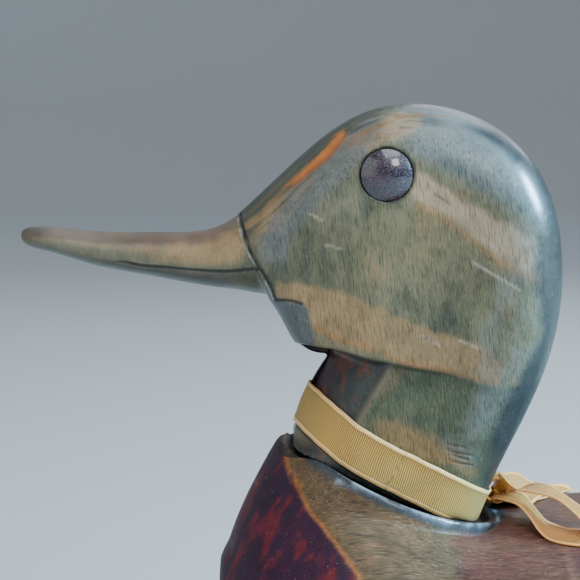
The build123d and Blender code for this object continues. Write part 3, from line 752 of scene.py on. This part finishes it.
    store(mesh, "paint", colour)
    store(mesh, "streaks", np.clip(smooth(0.6, 0.95, np.abs(normals[:, 0])) * (1 - 0.6 * bill), 0, 1))
    shine = 0.16 * (1 - 0.8 * bill) * (1 - neck) + 0.8 * shaded_nape * smooth(44, 54, v) * falling(74, 79, v)
    store(mesh, "gloss", np.clip(shine, 0, 1))


def painted_wood(name, streak_scale, streak_turn, strength, rough=0.38, shine=0.5):
    """Stained and rubbed wood: the painted colour, broken up by brush streaks, pores and scratches."""
    m = Material(name, Coat_Roughness=0.21, Coat_IOR=1.45, Specular_IOR_Level=shine)
    m.set("Coat Weight", m.attribute("gloss"))
    paint = m.attribute("paint", out=0)
    amount = m.attribute("streaks")
    streaks = m.noise(streak_scale, 3.0, 0.65, turn=streak_turn)
    hairs = m.noise(tuple(2.3 * s for s in streak_scale), 2.0, 0.6, turn=streak_turn)
    dark = m.times(m.step(streaks, 0.53, 0.36), m.times(amount, 0.8 * strength))
    light = m.times(m.step(hairs, 0.52, 0.7), m.times(amount, 0.62 * strength))
    colour = m.mix(dark, paint, m.tinted(paint, (0.34, 0.4, 0.38)))
    colour = m.mix(light, colour, m.mix(0.45, m.tinted(paint, (1.9, 1.75, 1.6)), (0.36, 0.29, 0.19)))
    cloud = m.noise((0.22,) * 3, 5.0, 0.6)
    colour = m.mix(m.step(cloud, 0.62, 0.34), colour, m.tinted(colour, (0.74, 0.78, 0.78)))
    specks = m.noise((1.9,) * 3, 2.0, 0.5)
    colour = m.mix(m.times(m.step(specks, 0.7, 0.78), 0.55), colour, (0.42, 0.38, 0.31))
    colour = m.mix(m.times(m.step(specks, 0.31, 0.24), 0.5), colour, (0.03, 0.035, 0.03))
    m.set("Base Color", colour)
    m.roughen(cloud, rough - 0.07, rough + 0.13)
    height = m.plus(m.times(streaks, 0.7), m.times(hairs, 0.4))
    first = m.bump(height, 0.0001, 0.55)
    m.bump(m.noise((0.35,) * 3, 2.0, 0.5), 0.0006, 0.25, first)
    return m.made


# ---------------------------------------------------------------- body

BREAST_EDGE = [
    (-22.2, 12.0), (-21.6, 9.0), (-20.4, 6.2), (-18.3, 2.1), (-15.8, -1.6), (-12.1, -5.4), (-9.0, -8.5),
    (-5.8, -13), (0, -22), (8, -34),
]
SHOULDER_OUTLINE = [(31, -4.5), (35.4, -6.2), (37.6, -8.6), (38.2, -11), (37.0, -15), (33, -21)]
LIP_R, LIP_HALF, LIP_H = 27.0, 1.25, 1.6  # rolled edge round the neck seat, in millimetres


def seat_rim(rel):
    """How far the rolled edge stands above the seat: it is highest at the breast and at the back."""
    aft = rel[:, 1] * cos(LEAN) - rel[:, 2] * sin(LEAN)
    return LIP_H + 1.6 * (aft / 24) ** 2


def round_the_neck(c):
    return (np.linalg.norm(c, axis=1) < 66) & (c[:, 2] > -36)


def round_the_seat(c):
    from_axis, above_seat = seat_coordinates(c)
    return (np.abs(from_axis - 26.5) < 4.5) & (np.abs(above_seat) < 4)


def carve_body(name, node_name):
    """Half of the hull. Its seam, its neck seat and its underside stay as the CAD has them."""
    upper = node_name == "body_upper"
    obj = remeshed(name, node_name, voxel=1.25 * MM)
    mesh = obj.data
    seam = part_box("seam_seal")
    from_axis, above_seat = seat_coordinates(from_seat(points_of(mesh)))
    height = points_of(mesh)[:, 2]
    if upper:
        free = smooth(seam[1].z + 0.0015, seam[1].z + 0.003, height)
        free *= np.where((from_axis < 24.2) & (above_seat < 1) & (above_seat > -1.5), 0.0, 1.0)
    else:
        free = falling(seam[0].z - 0.003, seam[0].z - 0.0015, height)
        free *= smooth(0.0245, 0.0262, height)
    relax(mesh, free, 8)
    if upper:
        from_axis, above_seat = seat_coordinates(from_seat(points_of(mesh)))
        crease = free * smooth(26.5, 30, from_axis) * falling(60, 75, from_axis)
        relax(mesh, crease * smooth(-48, -40, above_seat), 14, MELT)
        finer(obj, round_the_neck)
        finer(obj, round_the_seat)
        co = points_of(mesh)
        rel = from_seat(co)
        from_axis, above_seat = seat_coordinates(rel)
        lip = np.maximum(seat_rim(rel) - above_seat, 0) * np.exp(-((from_axis - LIP_R) / LIP_HALF) ** 4)
        lip *= smooth(-6, -3, above_seat)
        co += np.outer(lip * MM, AXIS)
        set_points(mesh, co)
        near_lip = (np.abs(from_axis - LIP_R) < 4.5) & (above_seat > -6) & (above_seat < 6)
        relax(mesh, near_lip.astype(float), 3, MELT)
    paint_body(obj)
    shade_smooth(obj)
    return obj


def paint_body(obj):
    mesh = obj.data
    co = points_of(mesh)
    rel = from_seat(co)
    places, side = rel[:, 1:3], np.abs(rel[:, 0])
    u, v = places[:, 0], places[:, 1]
    from_axis, above_seat = seat_coordinates(rel)
    broad, fine = mottle(rel, 24, 31), mottle(rel, 5, 32)
    grain = mottle(rel * np.array([1.0, 0.16, 1.0]), 4.5, 33)
    leaning = np.column_stack([rel[:, 0], u - 0.04 * v + 0.4 * fine, 0.07 * v])
    upright = mottle(leaning, 2.3, 34)

    maroon, purple, red = (0.07, 0.018, 0.034), (0.036, 0.008, 0.032), (0.15, 0.014, 0.022)
    khaki, brown = (0.122, 0.079, 0.039), (0.12, 0.045, 0.027)
    colour, wash = coat(len(co), brown)
    wash(0.6 * smooth(0.0, 1.1, broad + 0.5 * grain), maroon)
    wash(0.45 * smooth(0.2, 1.2, grain - 0.3 * broad), (0.16, 0.058, 0.034))
    # Shoulders: khaki patch beside the neck seat, ending in a ragged line on the back.
    back_edge = (u - 15.5) - 0.28 * (v + 4) + 1.8 * fine
    shoulder = falling(-1.5, 2.5, back_edge) * smooth(-34, -14, v)
    wash(0.9 * shoulder, khaki)
    wash(0.45 * shoulder * smooth(0.1, 1.0, grain + 0.4 * broad), (0.095, 0.085, 0.052))
    wash(0.4 * shoulder * smooth(0.35, 1.1, -grain + 0.5 * fine), (0.2, 0.1, 0.045))
    # Flank: olive brown, darker towards the water line and the tail.
    flank = smooth(45, 80, u) * falling(150, 195, u) * smooth(-52, -38, v) * smooth(24, 42, side)
    wash(0.6 * flank * smooth(-0.8, 0.5, broad + grain), (0.15, 0.125, 0.078))
    wash(0.85 * smooth(190, 235, u + 8 * broad), (0.04, 0.03, 0.028))
    wash(0.55 * falling(-58, -44, v + 3 * broad), (0.045, 0.032, 0.03))

    # Breast: dark purple brown with upright red streaks.
    edge_line = curve_through(BREAST_EDGE)
    line_u = np.interp(-v, -edge_line[:, 1], edge_line[:, 0])
    line_u = np.where(v < edge_line[-1, 1], edge_line[-1, 0] + 0.55 * (edge_line[-1, 1] - v), line_u)
    ahead = line_u - u + 0.5 * fine
    breast = smooth(-0.5, 0.9, ahead)
    wash(breast, purple)
    wash(0.35 * breast * smooth(-0.2, 0.8, broad), maroon)
    wash(0.85 * breast * smooth(0.1, 0.85, upright), red)
    wash(0.6 * breast * smooth(0.2, 0.95, -upright), (0.014, 0.012, 0.02))
    worn = np.exp(-(ahead / 0.65) ** 2) * smooth(-20, -11, v) * (0.6 + 0.4 * smooth(-0.9, 0.2, fine + broad))
    wash(0.9 * worn, ORANGE)
    # A rubbed pale outline far back on the shoulder.
    outline = gap_to(places, SHOULDER_OUTLINE)
    wash(0.35 * falling(0.3, 1.2, outline + 0.3 * fine) * smooth(20, 28, side), (0.28, 0.13, 0.08))
    # Pale chips on the breast's edge.
    chips = smooth(0.93, 1.2, mottle(rel, 1.6, 35)) * smooth(-33, -30, u)
    chips *= falling(-27, -24, u) * smooth(-10, 2, v)
    wash(0.8 * chips, (0.42, 0.33, 0.2))

    # The rolled lip of the seat and the shadowed floor inside it.
    under_rim = seat_rim(rel) - above_seat
    lip = smooth(25.0, 25.8, from_axis) * falling(LIP_R + 1.3, LIP_R + 2.2, from_axis + 0.25 * fine)
    lip *= falling(1.4, 2.4, under_rim + 0.35 * fine)
    wash(0.95 * lip, (0.022, 0.034, 0.048))
    glint = np.exp(-((from_axis - LIP_R - 0.45 + 0.25 * fine) / 0.38) ** 2)
    glint *= smooth(-0.25, 0.45, mottle(rel, 4.0, 36))
    wash(0.75 * glint * lip, (0.3, 0.38, 0.46))
    wash(0.9 * (from_axis < 25.4) * (above_seat > -2) * (above_seat < 6), NEAR_BLACK)
    store(mesh, "paint", colour)
    store(mesh, "streaks", np.clip(1 - 0.75 * np.maximum(lip, breast), 0, 1))
    store(mesh, "gloss", np.clip(0.05 + 0.6 * lip, 0, 1))


def carve_keel():
    obj = remeshed("worn_keel", "keel", voxel=1.1 * MM)
    mesh = obj.data
    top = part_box("keel")[1].z
    relax(mesh, falling(top - 0.004, top - 0.002, points_of(mesh)[:, 2]), 4)
    co, normals = points_of(mesh), normals_of(mesh)
    rel = from_seat(co)
    edges = smooth(0.25, 0.6, np.minimum(np.abs(normals[:, 0]), np.abs(normals[:, 2])) * 1.6)
    fine, broad = mottle(rel, 4, 41), mottle(rel, 18, 42)
    colour, wash = coat(len(co), (0.085, 0.06, 0.048))
    wash(0.6 * smooth(0.0, 1.0, broad + 0.4 * fine), (0.045, 0.034, 0.032))
    rubbed = smooth(0.1, 0.7, edges + 0.5 * fine - 0.1) + smooth(0.75, 1.1, fine + 0.5 * broad)
    wash(0.8 * np.clip(rubbed, 0, 1), (0.33, 0.215, 0.12))
    store(mesh, "paint", colour)
    store(mesh, "streaks", np.ones(len(co)))
    store(mesh, "gloss", np.full(len(co), 0.05))
    shade_smooth(obj)
    return obj


# ---------------------------------------------------------------- ribbon

RIBBON_HALF = 4.75  # half the ribbon's width, in millimetres
BAND_SLOPE = radians(30.7)
BAND_LEVELS = (2.65, 11.95)  # the band's lower and upper edge, square to its slope
NAPE = (-4.0, 26.6, -2.4)  # middle of the knot, as (x, u, v)

# The near loop: pairs of points on the ribbon's outer and inner edges, out along the top and back underneath.
NEAR_LOOP = [
    ((-1, 27, 1.2), (-1.5, 26, -2.4)), ((1, 27.6, 0.4), (-1, 27.2, -2.6)),
    ((3.5, 29.2, -0.6), (-2, 29.2, -2.8)), ((6, 31, -0.8), (-3, 31.6, -2.6)),
    ((9.5, 33.2, -0.4), (0.5, 33.6, -1)), ((13.5, 35.6, -0.4), (4.5, 35.8, 0)),
    ((17.5, 38.2, -0.8), (8.5, 38.6, -0.4)), ((21, 41.2, -2.8), (12, 41.6, -2)),
    ((24, 43.8, -5.4), (15, 44.8, -4.2)), ((25, 45, -8), (16.5, 46.4, -6.4)),
    ((26, 44.2, -9.6), (18, 45.2, -7.6)), ((26, 41.4, -10), (18, 42, -7.2)),
    ((24.5, 38.2, -9.8), (16, 39.2, -8)), ((22, 36, -8.8), (13.5, 37.2, -8)),
    ((18.5, 34, -7.2), (10.5, 35.6, -7)), ((14, 32.4, -5.2), (6.5, 34.4, -5.6)),
    ((9.5, 30.6, -3.6), (3, 32.8, -4)), ((5.5, 28.6, -3.4), (0.5, 31.4, -3)),
    ((2, 27, -3.6), (-1, 28.8, -2.8)), ((-1.5, 25.6, -4), (-2, 26.4, -2.8)),
]
FAR_LOOP = [
    ((-5, 25.6, -3), (-5, 27, 0)), ((-6.5, 28.6, -4), (-9, 30, -1.4)),
    ((-9, 32, -5.4), (-14.5, 33.8, -3.2)), ((-13, 36, -7), (-20, 37.6, -6)),
    ((-18.5, 39.6, -8.5), (-25.5, 41.6, -8.5)), ((-25, 42.5, -10), (-31, 45.5, -10)),
    ((-30, 43.5, -11.5), (-36, 46, -11.5)), ((-31.5, 40.5, -12), (-37.5, 44, -12)),
    ((-29, 37.5, -11.5), (-35, 42, -11.5)), ((-24.5, 34.5, -10), (-30, 39.5, -10.5)),
    ((-19.5, 31.8, -8.5), (-24.5, 37, -9)), ((-14.5, 29.5, -7), (-18.5, 34, -7.5)),
    ((-9.5, 27.4, -5.6), (-12.5, 31, -5.6)), ((-5, 25.6, -4.6), (-5.5, 27.2, -2.6)),
]
PAST_BACK = -14.0  # height for a point of a tail that misses the back
# The tails lie on the back toward the right side: points along the middle of each, as (x, u).
TAILS = [
    [(-4.5, 27.5), (-9.0, 28.6), (-16.0, 28.4), (-24.0, 29.2), (-31.0, 32.5), (-37.5, 34.0)],
    [(-4.0, 27.5), (-8.0, 30.5), (-15.0, 34.0), (-22.0, 37.0), (-29.0, 41.5), (-36.0, 45.0)],
]


def surface_tree(obj):
    mesh = obj.data
    faces = [tuple(face.vertices) for face in mesh.polygons]
    return BVHTree.FromPolygons([tuple(p) for p in points_of(mesh)], faces)


def ground(body_tree, x, u):
    """Height of the back at a place, in millimetres, or None past its edge."""
    hit = body_tree.ray_cast(Vector(world((x, u, 40))), Vector((0, 0, -1)))[0]
    return (hit.z - SEAT.z) / MM if hit else None


def grid_normals(grid, closed=False):
    along = np.roll(grid, -1, 0) - np.roll(grid, 1, 0) if closed else np.gradient(grid, axis=0)
    normal = np.cross(along, np.gradient(grid, axis=1))
    return normal / np.maximum(np.linalg.norm(normal, axis=2, keepdims=True), 1e-9)


def cloth(name, grid, closed=False, border=0.16, middle=0.055, glow_amount=1.0):
    """A thin strip from a grid of points (along, across, xyz) in millimetres, with thicker woven borders."""
    n, m = grid.shape[:2]
    normal = grid_normals(grid, closed)
    where = np.linspace(-RIBBON_HALF, RIBBON_HALF, m)
    half = middle + (border - middle) * smooth(RIBBON_HALF - 1.15, RIBBON_HALF - 0.75, np.abs(where))
    top, bottom = grid + normal * half[None, :, None], grid - normal * half[None, :, None]
    centre = grid[:, m // 2]
    run = np.concatenate([[0], np.cumsum(np.linalg.norm(np.diff(centre, axis=0), axis=1))])
    verts = np.concatenate([top.reshape(-1, 3), bottom.reshape(-1, 3)])
    faces = []
    rows = n if closed else n - 1
    base = n * m
    for i in range(rows):
        j = (i + 1) % n
        for k in range(m - 1):
            a, b, c, d = i * m + k, j * m + k, j * m + k + 1, i * m + k + 1
            faces.append((a, b, c, d))
            faces.append((base + d, base + c, base + b, base + a))
        faces.append((i * m, base + i * m, base + j * m, j * m))
        faces.append((j * m + m - 1, base + j * m + m - 1, base + i * m + m - 1, i * m + m - 1))
    if not closed:
        for i, flip in ((0, False), (n - 1, True)):
            for k in range(m - 1):
                face = (i * m + k, i * m + k + 1, base + i * m + k + 1, base + i * m + k)
                faces.append(face[::-1] if flip else face)
    mesh = bpy.data.meshes.new(name)
    mesh.from_pydata([tuple(p) for p in world(verts)], [], faces)
    mesh.update()
    store(mesh, "run", np.tile(np.repeat(run, m), 2))
    store(mesh, "across", np.tile(np.tile(where, n), 2))
    store(mesh, "glow_amount", np.full(2 * n * m, glow_amount))
    obj = bpy.data.objects.new(name, mesh)
    scene.collection.objects.link(obj)
    shade_smooth(obj)
    mesh.materials.append(organza())
    return obj, run[-1]


def organza():
    """Sheer gold ribbon: fine threads each way, half see-through, between satin borders."""
    found = bpy.data.materials.get("gold_organza")
    if found:
        return found
    m = Material("gold_organza", Sheen_Weight=0.25, Sheen_Roughness=0.35, Specular_IOR_Level=0.3)
    run, across = m.attribute("run"), m.attribute("across")
    drift = m.noise((0.16,) * 3, 2.0, 0.5)
    slip = m.times(drift, 5.0)
    lean = m.plus(m.plus(run, m.times(across, 0.16)), m.times(slip, 0.22))
    weft = m.maths("SINE", m.times(lean, 2 * pi / 0.47))
    warp = m.maths("SINE", m.times(m.plus(across, m.times(slip, 0.05)), 2 * pi / 0.33))
    threads = m.plus(m.times(weft, 0.62), m.times(warp, 0.28))
    lit = m.step(threads, -1.0, 1.0)
    wide = m.maths("ABSOLUTE", across)
    border = m.step(wide, RIBBON_HALF - 0.98, RIBBON_HALF - 0.82)
    hem = m.step(wide, RIBBON_HALF - 1.35, RIBBON_HALF - 1.0)
    gold = m.mix(lit, (0.33, 0.195, 0.046), (0.8, 0.545, 0.165))
    gold = m.mix(m.step(drift, 0.4, 0.62), gold, m.tinted(gold, (1.08, 1.04, 0.94)))
    satin = m.mix(m.step(weft, -0.6, 0.8), (0.92, 0.52, 0.15), (1.0, 0.75, 0.36))
    colour = m.mix(border, m.mix(m.times(hem, 0.45), gold, (0.28, 0.165, 0.055)), satin)
    # The loose ends are painted a warmer orange than the tight band, which lies on dark wood: a painted glow.
    glow_tint = m.tinted(colour, (1.16, 0.86, 0.6))
    m.set("Base Color", m.mix(m.attribute("glow_amount"), colour, glow_tint))
    cover = m.plus(0.5, m.times(lit, 0.38))
    m.set("Alpha", m.maths("MAXIMUM", cover, border))
    m.set("Roughness", m.mix(border, (0.45, 0.45, 0.45), (0.3, 0.3, 0.3)))
    m.bump(m.plus(weft, m.times(warp, 0.5)), 0.00004, 0.8)
    return m.made


def tie_band(head_tree):
    """The ribbon round the neck: pulled tight over the carved neck, so it spans the hollows."""
    normal = np.array((0, sin(BAND_SLOPE), cos(BAND_SLOPE)))
    aft = np.array((0, cos(BAND_SLOPE), -sin(BAND_SLOPE)))
    side = np.array((1.0, 0, 0))
    turns, rows = 220, 13
    # On the cheek sides the band sags at the front and rides up toward the nape.
    sag_at, sag = (-22.0, -12.0, -3.9, 4.4, 10.2, 15.7, 23.0), (-0.5, -1.1, -0.9, -0.3, 0.15, 0.35, 0.0)
    angles = np.linspace(0, 2 * pi, turns, endpoint=False)
    grid = np.zeros((turns, rows, 3))
    for k, level in enumerate(np.linspace(*BAND_LEVELS, rows)):
        middle = normal * level - aft * 0.8
        flat = []
        for angle in angles:
            out = side * cos(angle) + aft * sin(angle)
            hit = head_tree.ray_cast(Vector(world(middle + out * 40)), Vector(-out))[0]
            reach = (np.array(hit) - world(middle)) / MM
            flat.append((reach @ side, reach @ aft))
        flat = np.array(flat)
        # How far the tight outline reaches in each direction: the hull of the section, as its support.
        support = (flat @ np.stack([np.cos(angles), np.sin(angles)])).max(0) + 0.42
        slope = (np.roll(support, -1) - np.roll(support, 1)) / (angles[1] * 2)
        hull_x = support * np.cos(angles) - slope * np.sin(angles)
        hull_a = support * np.sin(angles) + slope * np.cos(angles)
        order = np.unwrap(np.arctan2(hull_a, hull_x))
        thrice = np.concatenate([order - 2 * pi, order, order + 2 * pi])
        reach = np.interp(angles, thrice, np.tile(np.hypot(hull_x, hull_a), 3))
        for _ in range(2):
            reach = (np.roll(reach, 1) + 2 * reach + np.roll(reach, -1)) / 4
        grid[:, k] = middle + np.outer(reach * np.cos(angles), side) + np.outer(reach * np.sin(angles), aft)
    for _ in range(2):
        grid[:, 1:-1] = (grid[:, :-2] + 2 * grid[:, 1:-1] + grid[:, 2:]) / 4
    # Slack ripples, and edges that wander a little.
    turn = angles[:, None]
    level = np.linspace(-1, 1, rows)[None, :]
    ripple = 0.05 * np.sin(17 * turn + 1.5 * level) * (0.4 + level ** 2)
    ripple += 0.06 * np.maximum(0, np.sin(5 * turn + 2.0)) * level ** 2
    out = np.cos(angles)[:, None] * side + np.sin(angles)[:, None] * aft
    shift = np.interp(grid @ aft, sag_at, sag)
    grid += shift[:, :, None] * normal
    grid += (0.1 + np.abs(ripple))[:, :, None] * out[:, None, :]
    grid += (0.05 * np.sin(6 * turn + 0.4) + 0.04 * np.sin(23 * turn))[:, :, None] * normal
    return cloth("neck_band", grid, closed=True, glow_amount=0.0)


def strip_grid(pairs, square, rows=11, per_span=7, pleats=0.12, waves=0.12):
    """A strip between two edge curves. It is gathered into pleats where the edges come close together."""
    outer = curve_through([a for a, _ in pairs], per_span)
    inner = curve_through([b for _, b in pairs], per_span)
    for _ in range(3):
        for edge in (outer, inner):
            edge[1:-1] = (edge[:-2] + 2 * edge[1:-1] + edge[2:]) / 4
    # The strip is turned partly square to its run, and away from the knot it keeps its full width.
    centre, reach = (outer + inner) / 2, (outer - inner) / 2
    run = np.gradient(centre, axis=0)
    run /= np.linalg.norm(run, axis=1, keepdims=True)
    reach -= square * run * (reach * run).sum(1, keepdims=True)
    place = np.linspace(0, 1, len(outer))
    half = RIBBON_HALF * (0.45 + 0.55 * smooth(0.0, 0.2, place) * falling(0.82, 1.0, place))
    reach *= (half / np.linalg.norm(reach, axis=1))[:, None]
    outer, inner = centre + reach, centre - reach
    t = np.linspace(0, 1, rows)
    grid = outer[:, None] * (1 - t)[None, :, None] + inner[:, None] * t[None, :, None]
    width = np.linalg.norm(outer - inner, axis=1)
    slack = np.clip(1 - width / (2 * RIBBON_HALF), 0, 1)
    fold = np.cos(t * 2 * pi * 2.5)[None, :] * (pleats * 2.2 * slack)[:, None]
    count = np.arange(len(grid))[:, None]
    fold = fold + waves * np.sin(count * 0.19 + 2.1 * t[None, :]) * np.sin(count * 0.05)
    return grid + grid_normals(grid) * fold[:, :, None]


def held_up(grid, body_tree, gap):
    """Lifts the points of a strip that would sink into the back."""
    lift = np.zeros(grid.shape[:2])
    for i, k in np.ndindex(lift.shape):
        height = ground(body_tree, *grid[i, k, :2])
        if height is not None:
            lift[i, k] = max(height + gap - grid[i, k, 2], 0)
    for _ in range(12):
        lift[1:-1] = np.maximum(lift[1:-1], 0.49 * (lift[:-2] + lift[2:]))
    grid[:, :, 2] += lift
    return grid


def lay_tail(name, line, body_tree, seed):
    """A tail lying on the back, with loose waves and a slanting cut end."""
    middle = curve_through(line, 14)
    count = len(middle)
    tangent = np.gradient(middle, axis=0)
    tangent /= np.linalg.norm(tangent, axis=1, keepdims=True)
    beside = np.stack([-tangent[:, 1], tangent[:, 0]], 1)
    run = np.linspace(0, 1, count)
    rows = 11
    t = np.linspace(-1, 1, rows)
    grid = np.zeros((count, rows, 3))
    half = 2.0 + (RIBBON_HALF - 2.0) * smooth(0.0, 0.22, run)
    slant = 4.0 * t[None, :] * smooth(0.86, 1.0, run)[:, None]
    for k in range(rows):
        flat = middle + beside * (half * t[k])[:, None] - tangent * slant[:, k][:, None]
        for i in range(count):
            height = ground(body_tree, *flat[i])
            grid[i, k] = (*flat[i], PAST_BACK if height is None else height)
    # The waves, and the rise to the knot at the start.
    wave = 0.4 + 0.55 * (0.5 + 0.5 * np.sin(run * 13 + seed))[:, None] * (1 - 0.25 * t[None, :] ** 2)
    grid[:, :, 2] += wave + 0.22 * np.sin(3 * t + 9 * run[:, None])
    rise = falling(0.0, 0.22, run)[:, None]
    grid[:, :, 2] = grid[:, :, 2] * (1 - rise) + (NAPE[2] - 1.2 + 1.1 * t[None, :]) * rise
    return cloth(name, grid)


def tie_knot():
    """The knot: the ribbon wrapped once across the gathered strands, creased by the pull."""
    turns, rows = 72, 17
    angle = np.linspace(0, 2 * pi, turns, endpoint=False)[:, None]
    t = np.linspace(-1, 1, rows)[None, :]
    squared = (np.abs(np.cos(angle)) ** 3.2 + np.abs(np.sin(angle)) ** 3.2) ** (-1 / 3.2)
    swell = 1 - 0.16 * np.abs(t) ** 3
    crease = 0.22 * np.cos(7.5 * t + 0.8 * np.sin(angle)) + 0.1 * np.cos(14 * t + 2 * angle)
    across_out = (2.35 * squared * swell + crease) * np.cos(angle)
    across_up = (3.0 * squared * swell + crease) * np.sin(angle)
    grid = np.zeros((turns, rows, 3))
    grid[:, :, 0] = NAPE[0] + 3.7 * t + 0.25 * np.sin(angle)
    grid[:, :, 1] = NAPE[1] + across_out * cos(LEAN) + across_up * sin(LEAN)
    grid[:, :, 2] = NAPE[2] - across_out * sin(LEAN) + across_up * cos(LEAN)
    return cloth("bow_knot", grid, closed=True, border=0.24, middle=0.16)


def tie_ribbon(head, back):
    body_tree = surface_tree(back)
    band, length = tie_band(surface_tree(head))
    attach(band, "head")
    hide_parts("ribbon_band")
    knot, length = tie_knot()
    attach(knot, "head")
    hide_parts("ribbon_knot")
    for name, pairs, square, end in (
        ("loop_left", NEAR_LOOP, 0.3, (26.0, 41.0, -5.0)),
        ("loop_right", FAR_LOOP, 0.75, (-26.0, 42.0, -6.0)),
    ):
        loop, length = cloth(name, held_up(strip_grid(pairs, square), body_tree, 0.35))
        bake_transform(loop)
        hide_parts("ribbon_loops")
    for name, line, seed in (("tail_front", TAILS[0], 0.5), ("tail_rear", TAILS[1], 2.6)):
        tail, length = lay_tail(name, line, body_tree, seed)
        end = (*line[3], -6.0)
        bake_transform(tail)
        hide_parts("ribbon_tails")


# ---------------------------------------------------------------- eyes and fittings

def dress(node_name, material):
    mesh = frame["nodes"][node_name].data
    mesh.materials.clear()
    mesh.materials.append(material)


def eye_glass():
    """Dark brown glass, dusty and finely scratched; the dust's bluish grey is partly a painted reflection."""
    m = Material("eye_glass", Coat_Weight=1.0, Coat_Roughness=0.1, IOR=1.52)
    cloud = m.noise((0.55,) * 3, 4.0, 0.7, 0.6)
    dust_and_reflection = m.noise((3.2,) * 3, 3.0, 0.7)
    colour = m.mix(m.step(cloud, 0.42, 0.62), (0.01, 0.005, 0.01), (0.044, 0.012, 0.02))
    colour = m.mix(m.times(m.step(dust_and_reflection, 0.5, 0.66), 0.42), colour, (0.14, 0.2, 0.36))
    m.set("Base Color", colour)
    m.roughen(dust_and_reflection, 0.12, 0.45)
    m.bump(m.plus(cloud, m.times(dust_and_reflection, 0.3)), 0.0004, 0.35)
    return m.made


def metal(name, colour, tarnish, rough, amount):
    """Worn metal: tarnish in clouds, fine scratches and pits."""
    m = Material(name, Metallic=1.0)
    cloud = m.noise((0.3,) * 3, 5.0, 0.65, 0.4)
    fine = m.noise((2.6, 2.6, 0.5), 3.0, 0.6)
    wear = m.step(m.plus(m.times(cloud, 0.75), m.times(fine, 0.25)), 0.6 - amount, 0.66)
    m.set("Base Color", m.mix(wear, colour, tarnish))
    m.roughen(wear, rough, rough + 0.35, 0.0, 1.0)
    m.bump(m.plus(cloud, m.times(fine, 0.5)), 0.00012, 0.6)
    return m.made


def matter(name, light, dark, size, stretch=(1, 1, 1), rough=0.7, depth=0.0002):
    """A plain material of two tones: wood, leather, putty or caulk."""
    m = Material(name)
    grain = m.noise(tuple(size * s for s in stretch), 5.0, 0.65, 0.8)
    fine = m.noise(tuple(size * 7 * s for s in stretch), 2.0, 0.6)
    tone = m.plus(m.times(grain, 0.7), m.times(fine, 0.3))
    m.set("Base Color", m.mix(m.step(tone, 0.36, 0.62), light, dark))
    m.roughen(tone, rough - 0.12, rough + 0.12)
    m.bump(tone, depth, 0.7)
    return m.made


def dress_fittings():
    glass = eye_glass()
    brass = metal("brass", (0.62, 0.42, 0.16), (0.16, 0.11, 0.05), 0.26, 0.12)
    steel = metal("zinc_steel", (0.55, 0.56, 0.57), (0.3, 0.29, 0.27), 0.3, 0.08)
    iron = metal("cast_iron", (0.12, 0.115, 0.11), (0.15, 0.062, 0.03), 0.55, 0.16)
    putty = matter("putty", (0.055, 0.05, 0.042), (0.02, 0.02, 0.018), 0.9, rough=0.75)
    leather = matter("leather", (0.21, 0.105, 0.045), (0.085, 0.04, 0.018), 1.1, rough=0.68)
    caulk = matter("caulk", (0.05, 0.042, 0.036), (0.024, 0.02, 0.018), 0.7, rough=0.62)
    wood = matter("bare_wood", (0.52, 0.36, 0.2), (0.36, 0.22, 0.11), 0.5, (1, 0.12, 1), 0.66)
    for name in ("eye_left", "eye_right"):
        dress(name, glass)
    for name in ("eye_bed_left", "eye_bed_right"):
        dress(name, putty)
    for name in ("body_screws", "keel_screws", "ballast_screws", "line_eye", "line_ring"):
        dress(name, brass)
    for name in ("neck_bolt", "lock_nut", "thrust_washer", "tension_spring"):
        dress(name, steel)
    dress("ballast_weight", iron)
    dress("seat_washer", leather)
    dress("seam_seal", caulk)
    dress("locating_dowels", wood)


# ---------------------------------------------------------------- put it together

ALONG_GRAIN = (1.6, 0.14, 1.6)  # streaks that run fore and aft

place_camera()
studio()
head = carve_head()
stain = painted_wood("stained_head", (2.8, 3.5, 0.26), (radians(-7), 0, 0), 1.0, shine=0.36)
head.data.materials.append(stain)
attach(head, "head")
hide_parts("head")
halves = {}
for name, node_name in (("carved_back", "body_upper"), ("carved_bottom", "body_lower")):
    body = halves[name] = carve_body(name, node_name)
    stain = painted_wood(name + "_stain", ALONG_GRAIN, (0, 0, 0), 0.9, rough=0.55, shine=0.28)
    body.data.materials.append(stain)
    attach(body, "body")
    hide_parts(node_name)
keel = carve_keel()
keel.data.materials.append(painted_wood("keel_paint", ALONG_GRAIN, (0, 0, 0), 0.8, rough=0.55))
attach(keel, "body")
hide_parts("keel")
tie_ribbon(head, halves["carved_back"])
dress_fittings()
